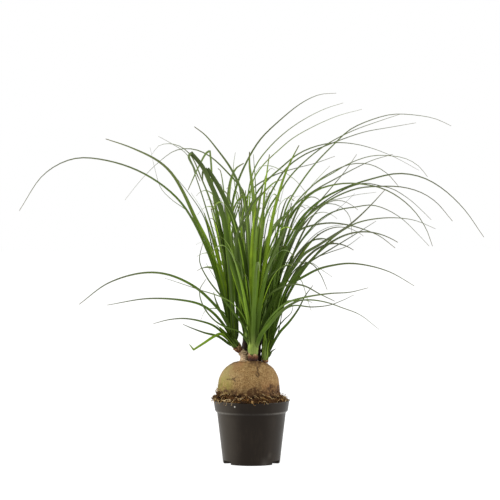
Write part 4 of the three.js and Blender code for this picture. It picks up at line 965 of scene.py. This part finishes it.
def leafMaterial():
    look = leafLook
    made = Recipe("leaf blade", 0.1, (0.97, 1, 0.6))
    along, across, tone = made.own("along"), made.own("across"), made.own("tone")
    lines = [made.times(*pair) for pair in ((across, 7.0), (along, 3.0), (tone, 40.0))]
    veins = made.speckle(1.0, 3.0, 0.6, coords=made.add("CombineXYZ", X=lines[0], Y=lines[1], Z=lines[2]))
    greens = ((0.0, "darkest"), (0.35, "deep"), (0.65, "fresh"), (1.0, "lightest"))
    made.ramp(tone, *[(spot, look[name]) for spot, name in greens])
    dull = made.range(made.math("FRACT", made.times(tone, 7.3)), 0.3, 1.0, 0.0, 0.32)
    made.over(made.times(dull, made.range(tone, 0.2, 0.8, 1.0, 0.0)), look["dull"])
    made.over(made.range(made.speckle(0.02, 3), 0.35, 0.65, 0.0, 0.35), look["cloud"])
    made.over(made.range(veins, 0.42, 0.62, 0.0, 0.3), look["vein"])
    # One half of each blade across its width is darkened: painted shade, as on the half of a folded blade
    # turned from the light.
    shadedHalf = made.range(across, -0.05, 0.2, 0.0, 0.36)
    made.over(made.times(shadedHalf, made.range(tone, 0.3, 0.8, 0.4, 1.0)), look["fold"])
    outward = made.range(along, 0.45, 0.85, 0.0, 0.34)
    made.over(made.times(outward, made.range(tone, 0.6, 0.9, 1.0, 0.3)), look["ageing"])
    made.over(made.range(along, 0.1, 0.34, 0.42, 0.0), look["shade"])
    made.over(made.times(made.own("pale"), made.range(veins, 0.36, 0.62, 1.0, 0.35)), look["pale"])
    made.over(made.own("faded"), look["faded"])
    made.over(made.range(along, 0.93, 1.0, 0.0, 0.8), look["tip"])
    made.bump(veins, 0.00012, 0.5)
    return made.done(made.range(veins, 0.3, 0.7, 0.36, 0.5))


def between(pair, share):
    return pair[0] + (pair[1] - pair[0]) * share


# The place at a depth that the camera sees where it sees the given spot
def setBack(spot, y):
    grow = 1 + y / (view["distance"] / mm)
    eye = view["height"] / mm
    return np.array([spot[0] * grow, y, eye + (spot[1] - eye) * grow])


# Brings a depth back to the head's own sector, so that neighbours don't cross
def keepInSector(head, x, y):
    low, high = [math.radians(v) for v in head["sector"]]
    off = (math.atan2(y, x) - (low + high) / 2 + math.pi) % (2 * math.pi) - math.pi
    if abs(off) <= (high - low) / 2:
        return y
    return math.tan(low if off < 0 else high) * x


def leadPoints(head, way, depth):
    seatX, seatY, seatZ = head["seat"]
    stops = np.array([(seatX, seatZ)] + list(way), dtype=float)
    reach = np.concatenate([[0], np.cumsum(np.hypot(*np.diff(stops, axis=0).T))])
    share = (reach / reach[-1]) ** 1.3
    return [setBack(spot, seatY + keepInSector(head, spot[0] - seatX, (depth - seatY) * s))
            for spot, s in zip(way, share[1:])]


def level(heading):
    return np.array([math.cos(heading), math.sin(heading), 0])


def leanOf(head):
    return np.array(head["lean"]) / np.linalg.norm(head["lean"])


def turnOf(head):
    return Vector(head["lean"]).normalized().to_track_quat("Z", "Y")


def leafRoot(head, share, heading):
    rise = head["collar"][0] + crownShape["rootRise"] + crownShape["rootSpread"] * share
    out = head["radius"] * crownShape["rootShare"]
    return np.array(head["seat"]) + leanOf(head) * rise + out * level(heading)


# A smooth line through points, with knots by the root of their distances, sampled evenly by length
def smoothLine(stops):
    stops = [np.asarray(p, dtype=float) for p in stops]
    stops = [2 * stops[0] - stops[1]] + stops + [2 * stops[-1] - stops[-2]]
    t = np.linspace(0, 1, 40, endpoint=False)[:, None]
    spots = []
    for p0, p1, p2, p3 in zip(stops, stops[1:], stops[2:], stops[3:]):
        k0, k1, k2 = [max(np.linalg.norm(b - a), 1e-6) ** 0.5 for a, b in ((p0, p1), (p1, p2), (p2, p3))]
        m1 = k1 * ((p1 - p0) / k0 - (p2 - p0) / (k0 + k1) + (p2 - p1) / k1)
        m2 = k1 * ((p2 - p1) / k1 - (p3 - p1) / (k1 + k2) + (p3 - p2) / k2)
        bow, sway = 3 * (p2 - p1) - 2 * m1 - m2, 2 * (p1 - p2) + m1 + m2
        spots.append(p1 + m1 * t + bow * t ** 2 + sway * t ** 3)
    return evenly(np.concatenate(spots + [stops[-2][None]]))


def cubicLine(a, b, c, d):
    t = np.linspace(0, 1, 160)[:, None]
    u = 1 - t
    return evenly(u ** 3 * a + 3 * u * u * t * b + 3 * u * t * t * c + t ** 3 * d)


def evenly(spots):
    reach = np.concatenate([[0], np.cumsum(np.linalg.norm(np.diff(spots, axis=0), axis=1))])
    goals = np.linspace(0, reach[-1], bladeShape["segments"] + 1)
    return np.stack([np.interp(goals, reach, spots[:, k]) for k in range(3)], axis=1)


# The line of a leaf that isn't listed: the later its index, the older it is and the further out it arches
def fillLine(head, fill, draw, index):
    age = (index + 0.5) / fill["count"]
    heading = math.radians(between(fill["fan"], (index * 0.618034 + draw(0, 0.12)) % 1))
    sideways = fill["side"] / max(0.2, abs(math.cos(heading)))
    far = min(sideways, between(fill["reach"], age ** 0.8) * draw(0.8, 1.2))
    root = leafRoot(head, 1 - age, heading)
    rise = (between(fill["top"], age) - root[2]) * draw(0.9, 1.1)

    def step(out, height):
        return root + level(heading) * far * out + np.array([0, 0, rise * height])
    arch = min(max(far / 160, 0.15), 1.1)
    low = step(draw(0.05, 0.2), 0.45 + 0.15 * arch)
    return cubicLine(root, low, step(0.5, 1 + 0.32 * arch), step(1, 1))


def masterBlade():
    s = bladeShape
    bpy.ops.mesh.primitive_grid_add(x_subdivisions=s["across"], y_subdivisions=s["segments"], size=2)
    blade = bpy.context.active_object
    editAll(blade)
    bpy.ops.transform.resize(value=(1, 0.5, 1), center_override=(0, 0, 0))
    bpy.ops.transform.translate(value=(0, 0.5, 0))
    leaveEdit()
    applyModifier(blade, "SOLIDIFY", thickness=2, offset=0)
    editAll(blade)
    bpy.ops.mesh.flip_normals()
    leaveEdit()
    return blade


# Lays the blank blade along a line, which mirrors it: the blank is inside out so that every leaf's faces
# point outwards. Start and end say which share of a whole leaf it is.
def bendBlade(blade, base, line, leaf, start=0.0, end=1.0):
    s = bladeShape
    row = np.rint(np.clip(base[:, 1], 0, 1) * s["segments"]).astype(int)
    along = start + (end - start) * row / s["segments"]
    centre, tangent = line[row], unit(np.gradient(line, axis=0))[row]
    chord = line[-1] - line[0]
    hand = -1 if chord[0] < 0 else 1
    flat = np.array([-chord[1], chord[0], 0]) / math.hypot(chord[0], chord[1])
    side = unit(flat - tangent * (tangent @ flat)[:, None])
    face = np.cross(tangent, side)
    sideTurn = s["sideTurn"] * abs(chord[0]) / np.linalg.norm(chord)
    turn = hand * np.radians(between(leaf["turn"], along) + sideTurn)
    cos, sin = np.cos(turn)[:, None], np.sin(turn)[:, None]
    side, face = side * cos + face * sin, face * cos - side * sin
    half = leaf["wide"] / 2 * (1 - (1 - s["tipShare"]) * along ** leaf["taper"])
    across = base[:, 0]
    lift = half * s["fold"] * (np.abs(across) ** 1.3 - 0.35) * (1 - 0.4 * along)
    thick = s["thick"] * (1 - 0.5 * across ** 2) * (1 - 0.5 * along)
    height = lift + np.sign(base[:, 2]) * thick / 2
    copy = twin(blade, centre + side * (across * half)[:, None] + face * height[:, None])
    grown = along * leaf.get("share", 1)
    faded = s["faded"] * ease(*s["fadedReach"], abs(chord[0])) * ease(*s["fadedAlong"], along)
    pale = leaf["pale"] * ease(0.14, 0.0, grown)
    mark(copy, along=grown, across=across, tone=leaf["tone"], pale=pale, faded=faded)
    return copy


# One listed leaf. What arches far out to a side is slimmer, and a folded leaf is two blades.
def leadPieces(blade, base, head, row):
    way, depth, wide, turn, tone, taper = row[:6]
    spots = leadPoints(head, way, depth)
    tip = spots[-1]
    heading = math.atan2(tip[1] - head["seat"][1], tip[0] - head["seat"][0])
    share = min(max((tip[2] - 200) / 300, 0), 1)
    reach = abs(tip[0] - head["seat"][0])
    slim = 1 - 0.14 * ease(90, 180, reach) - 0.24 * ease(200, 330, reach)
    leaf = dict(wide=wide * slim, turn=turn, tone=tone, taper=taper, pale=head["pale"])
    line = smoothLine([leafRoot(head, share, heading)] + spots)
    if len(row) < 7:
        return [bendBlade(blade, base, line, leaf)]
    along = line[-1] - line[-2]
    start = tip - 0.8 * along / np.linalg.norm(along)
    drop = smoothLine([start] + [setBack(spot, tip[1]) for spot in row[6]])
    fold = bladeShape["foldAt"]
    return [bendBlade(blade, base, line, leaf, 0, fold), bendBlade(blade, base, drop, leaf, fold, 1)]


def makeCore(head):
    s = crownShape
    shoulder = head["collar"][0] + s["slack"]
    middle = shoulder + (head["height"] - shoulder) * 0.45
    rings = [(head["foot"], 0.3), (head["foot"], shoulder), (head["radius"], shoulder + s["swell"]),
             (head["radius"], middle), (head["radius"] * s["tipShare"], head["height"])]
    core = turnedBody(rings, 28, "core")
    core.rotation_euler = turnOf(head).to_euler()
    core.location = Vector(head["seat"]) * mm
    settle(core)
    mark(core, along=0.02, across=0, tone=0.3, pale=head["pale"], faded=0)
    return core


# Sheaths: broad short leaf bases that clasp the heart of a head. The profile is how far out they stand as
# they rise, and share how much of a leaf's colouring they show.
sheathShape = dict(
    count=9, turn=2.4, low=-1.5, lowStep=0.9, rise=24, riseStep=5, wide=1.5, taper=2.2, tone=0.2,
    toneStep=0.07, share=0.16, profile=((0, 0.82), (0.2, 1.02), (0.5, 0.95), (0.8, 1.1), (1, 1.5)),
)


def sheathPieces(blade, base, head):
    s = sheathShape
    pieces = []
    seat, radius = np.array(head["seat"]), head["radius"]
    for k in range(s["count"]):
        out = level(s["turn"] * k)
        low = head["collar"][0] + s["low"] + s["lowStep"] * k
        rise = s["rise"] + s["riseStep"] * (k % 4)
        spots = [seat + leanOf(head) * (low + rise * up) + out * radius * away for up, away in s["profile"]]
        leaf = dict(wide=radius * s["wide"], turn=(0, 0), taper=s["taper"], pale=head["pale"])
        leaf.update(tone=s["tone"] + s["toneStep"] * k, share=s["share"])
        pieces.append(bendBlade(blade, base, smoothLine(spots), leaf))
    return pieces


# Width, turns and tone of a leaf that isn't listed. Every other extra one is broader and steeply turned.
def drawnLeaf(head, draw, k, kind):
    s = crownShape[kind]
    leaf = dict(wide=draw(*s["wide"]), turn=[draw(*span) for span in s["turns"]], taper=1.5)
    leaf["pale"] = head["pale"]
    if kind == "extra" and k % 2:
        leaf.update(wide=leaf["wide"] + 2.5, turn=(60, 55), taper=2)
    lowest = s.get("tone", head["tone"])
    leaf["tone"] = lowest + s["toneSpread"] * ((k * 0.37 + s["tonePhase"]) % 1)
    return leaf


def makeHead(name, blade, base):
    head, fill = heads[name], heads[name]["fill"]
    draw = portableDraw(head["seed"])
    pieces = [makeCore(head)]
    for row in leadLeaves[name]:
        pieces += leadPieces(blade, base, head, row)
    near, far = fill["reach"]
    inside = dict(fill, count=head["extra"], reach=(near * 0.7, far * head["near"]))
    for kind, stand in (("fill", fill), ("extra", inside)):
        for k in range(stand["count"]):
            line = fillLine(head, stand, draw, k)
            pieces.append(bendBlade(blade, base, line, drawnLeaf(head, draw, k, kind)))
    pieces += sheathPieces(blade, base, head)
    whole = joinAll(pieces, "blades_" + name)
    smooth(whole, 50)
    return finished(whole, leafSkin, ["leaves_" + name])


# Collars: dry leaf bases round the foot of each head
collarShape = dict(
    scales=13, curl=0.5, curls=(0.2, 1.3), longs=(0.5, 0.62), longer=(0, 0.35), wides=(0.55, 0.75),
    turnShare=0.382, wobble=(-0.02, 0.02), thick=8, browning=(-0.2, 0.2),
)


def masterScale():
    bpy.ops.mesh.primitive_grid_add(x_subdivisions=4, y_subdivisions=6, size=2)
    scale = bpy.context.active_object
    coords = points(scale)
    t = (coords[:, 1] + 1) / 2
    coords[:, 1] = t
    coords[:, 0] *= 1 - 0.85 * t ** 2.2
    place(scale, coords)
    applyModifier(scale, "SOLIDIFY", thickness=0.1, offset=0)
    return scale


def makeCollar(name, scale):
    head, s = heads[name], collarShape
    height, bottom, top = head["collar"]
    inner = head["foot"] + crownShape["slack"]
    draw = random.Random(head["seed"])
    frameTurn = np.array(turnOf(head).to_matrix())
    base = points(scale)
    t = base[:, 1]
    pieces, tones = [], []
    for k in range(s["scales"]):
        share = k / (s["scales"] - 1)
        long = height * draw.uniform(*s["longs"])
        start = (height - long) * share
        long += share * draw.uniform(*s["longer"]) * height
        radius = bottom + (top - bottom) * (start + t * long) / height - 0.5 * share - 0.6
        radius = np.maximum(radius + s["curl"] * draw.uniform(*s["curls"]) * t ** 2, inner + 0.4)
        half = bottom * draw.uniform(*s["wides"])
        middle = 2 * math.pi * (k * s["turnShare"] + draw.uniform(*s["wobble"]))
        angle = middle + base[:, 0] * half / bottom
        coords = aroundAxis(radius + base[:, 2] * s["thick"], angle, 0.4 + start + t * long)
        pieces.append(twin(scale, coords @ frameTurn.T + np.array(head["seat"])))
        own = 0.3 * share + draw.uniform(*s["browning"])
        tones += list(np.clip(between(head["dry"], own + 0.8 * t ** 1.5), 0, 1))
    pieces.append(collarRing(head, frameTurn))
    tones += [head["dry"][0]] * len(pieces[-1].data.vertices)
    whole = joinAll(pieces, "scales_" + name, tones)
    outwardFaces(whole)
    smooth(whole, 50)
    return finished(whole, scaleSkin, ["collar_" + name])


# The ring that the scales of a collar sit on
def collarRing(head, frameTurn):
    height, bottom, top = head["collar"]
    inner = head["foot"] + crownShape["slack"]
    bpy.ops.mesh.primitive_cylinder_add(vertices=32, radius=1, depth=2, end_fill_type="NOTHING")
    ring = bpy.context.active_object
    applyModifier(ring, "SOLIDIFY", thickness=0.2, offset=-1, use_even_offset=False)
    coords = points(ring)
    t = (coords[:, 2] + 1) / 2
    angle = np.arctan2(coords[:, 1], coords[:, 0])
    outer = np.maximum(bottom + (top - bottom) * t - 0.9, inner + 0.5)
    radius = np.where(np.hypot(coords[:, 0], coords[:, 1]) > 0.9, outer, inner)
    coords = aroundAxis(radius, angle, 0.3 + t * (height - 0.6))
    place(ring, (coords @ frameTurn.T + np.array(head["seat"])) * mm)
    return ring


# Dead shoot: thin dry stalks on a common foot, each with a point it bows through, its top and its radius
shootShape = dict(
    foot=(13.4, 7.5, 156.6), radius=3.2, rise=4.5, tone=0.08,
    stalks=[((12, 7, 172), (15.8, 8, 205), 3), ((17.6, 10.5, 171), (15.5, 12, 204), 2.3),
            ((12.8, 11, 168), (19, 11.5, 182), 1.7)],
)


def makeShoot():
    s = shootShape
    foot = np.array(s["foot"])
    tube = stalkBlank(12, 16)
    base = points(tube)
    t = (base[:, 2] + 1) / 2
    thick = s["radius"] * (1 - 0.25 * t)
    pieces = [twin(tube, foot + np.stack([base[:, 0] * thick, base[:, 1] * thick, t * s["rise"]], axis=1))]
    for bow, top, size in s["stalks"]:
        line = smoothLine([foot + (0, 0, 1.5), bow, top])
        row = np.rint(t * (len(line) - 1)).astype(int)
        tangent = unit(np.gradient(line, axis=0)[row])
        across = unit(np.array([1.0, 0, 0]) - tangent * tangent[:, [0]])
        away = np.cross(tangent, across)
        wide = size * (1 - 0.42 * t) * (1 + 0.15 * np.sin(t * 23))
        coords = line[row] + across * (base[:, 0] * wide)[:, None] + away * (base[:, 1] * wide)[:, None]
        pieces.append(twin(tube, coords))
    bpy.data.objects.remove(tube)
    whole = joinAll(pieces, "dry_stalks", s["tone"])
    smooth(whole, 50)
    return finished(whole, scaleSkin, ["dry_shoot"])


makePot()
makeCaudex()
makeSoil()
makeChips()
makeFibres()
print("pot, caudex and soil ready")

leafSkin = leafMaterial()
blade = masterBlade()
bladeBase = points(blade)
for name in heads:
    makeHead(name, blade, bladeBase)
bpy.data.objects.remove(blade)
print("leaves ready")

scaleSkin = dryMaterial(dryLeafLook)
scale = masterScale()
for name in heads:
    makeCollar(name, scale)
bpy.data.objects.remove(scale)
makeShoot()
print("collars and dead shoot ready")

# Floor and light: each softbox has its place, the point that it faces, its width and height and its power
stage = dict(
    floorSize=30, floorGlow=0.88, floorColours=[(0.15, 0.15, 0.15), (0.155, 0.155, 0.154)], worldLight=1.0,
    softboxes={
        "left softbox": ((-2.6, -0.6, 1.0), (0, 0, 0.25), (1.2, 1.8), 115),
        "right softbox": ((2.6, -0.6, 0.9), (0, 0, 0.25), (1.0, 1.6), 75),
        "top softbox": ((0.1, -0.1, 2.4), (0, 0, 0.2), (1.2, 1.2), 40),
    },
)


def floorMaterial():
    made = Recipe("pale floor", 0.1)
    made.skin = made.blend(made.speckle(0.4, 2), *stage["floorColours"])
    made.shader.inputs["Emission Color"].default_value = (1, 1, 1, 1)
    made.shader.inputs["Emission Strength"].default_value = stage["floorGlow"]
    return made.done(0.8)


bpy.ops.mesh.primitive_plane_add(size=stage["floorSize"], location=(0, 0, 0))
floor = bpy.context.active_object
floor.name = "floor"
floor.data.materials.append(floorMaterial())

for name, (where, aim, size, power) in stage["softboxes"].items():
    lamp = bpy.data.objects.new(name, bpy.data.lights.new(name, "AREA"))
    lamp.data.shape = "RECTANGLE"
    lamp.data.size, lamp.data.size_y = size
    lamp.data.energy = power
    lamp.location = where
    lamp.rotation_euler = (Vector(aim) - Vector(where)).to_track_quat("-Z", "Y").to_euler()
    bpy.context.scene.collection.objects.link(lamp)

world = bpy.data.worlds.new("studio")
world.use_nodes = True
world.node_tree.nodes["Background"].inputs["Color"].default_value = (1, 1, 1, 1)
world.node_tree.nodes["Background"].inputs["Strength"].default_value = stage["worldLight"]
bpy.context.scene.world = world
bpy.context.scene.view_settings.view_transform = "Standard"
print("floor and light ready")
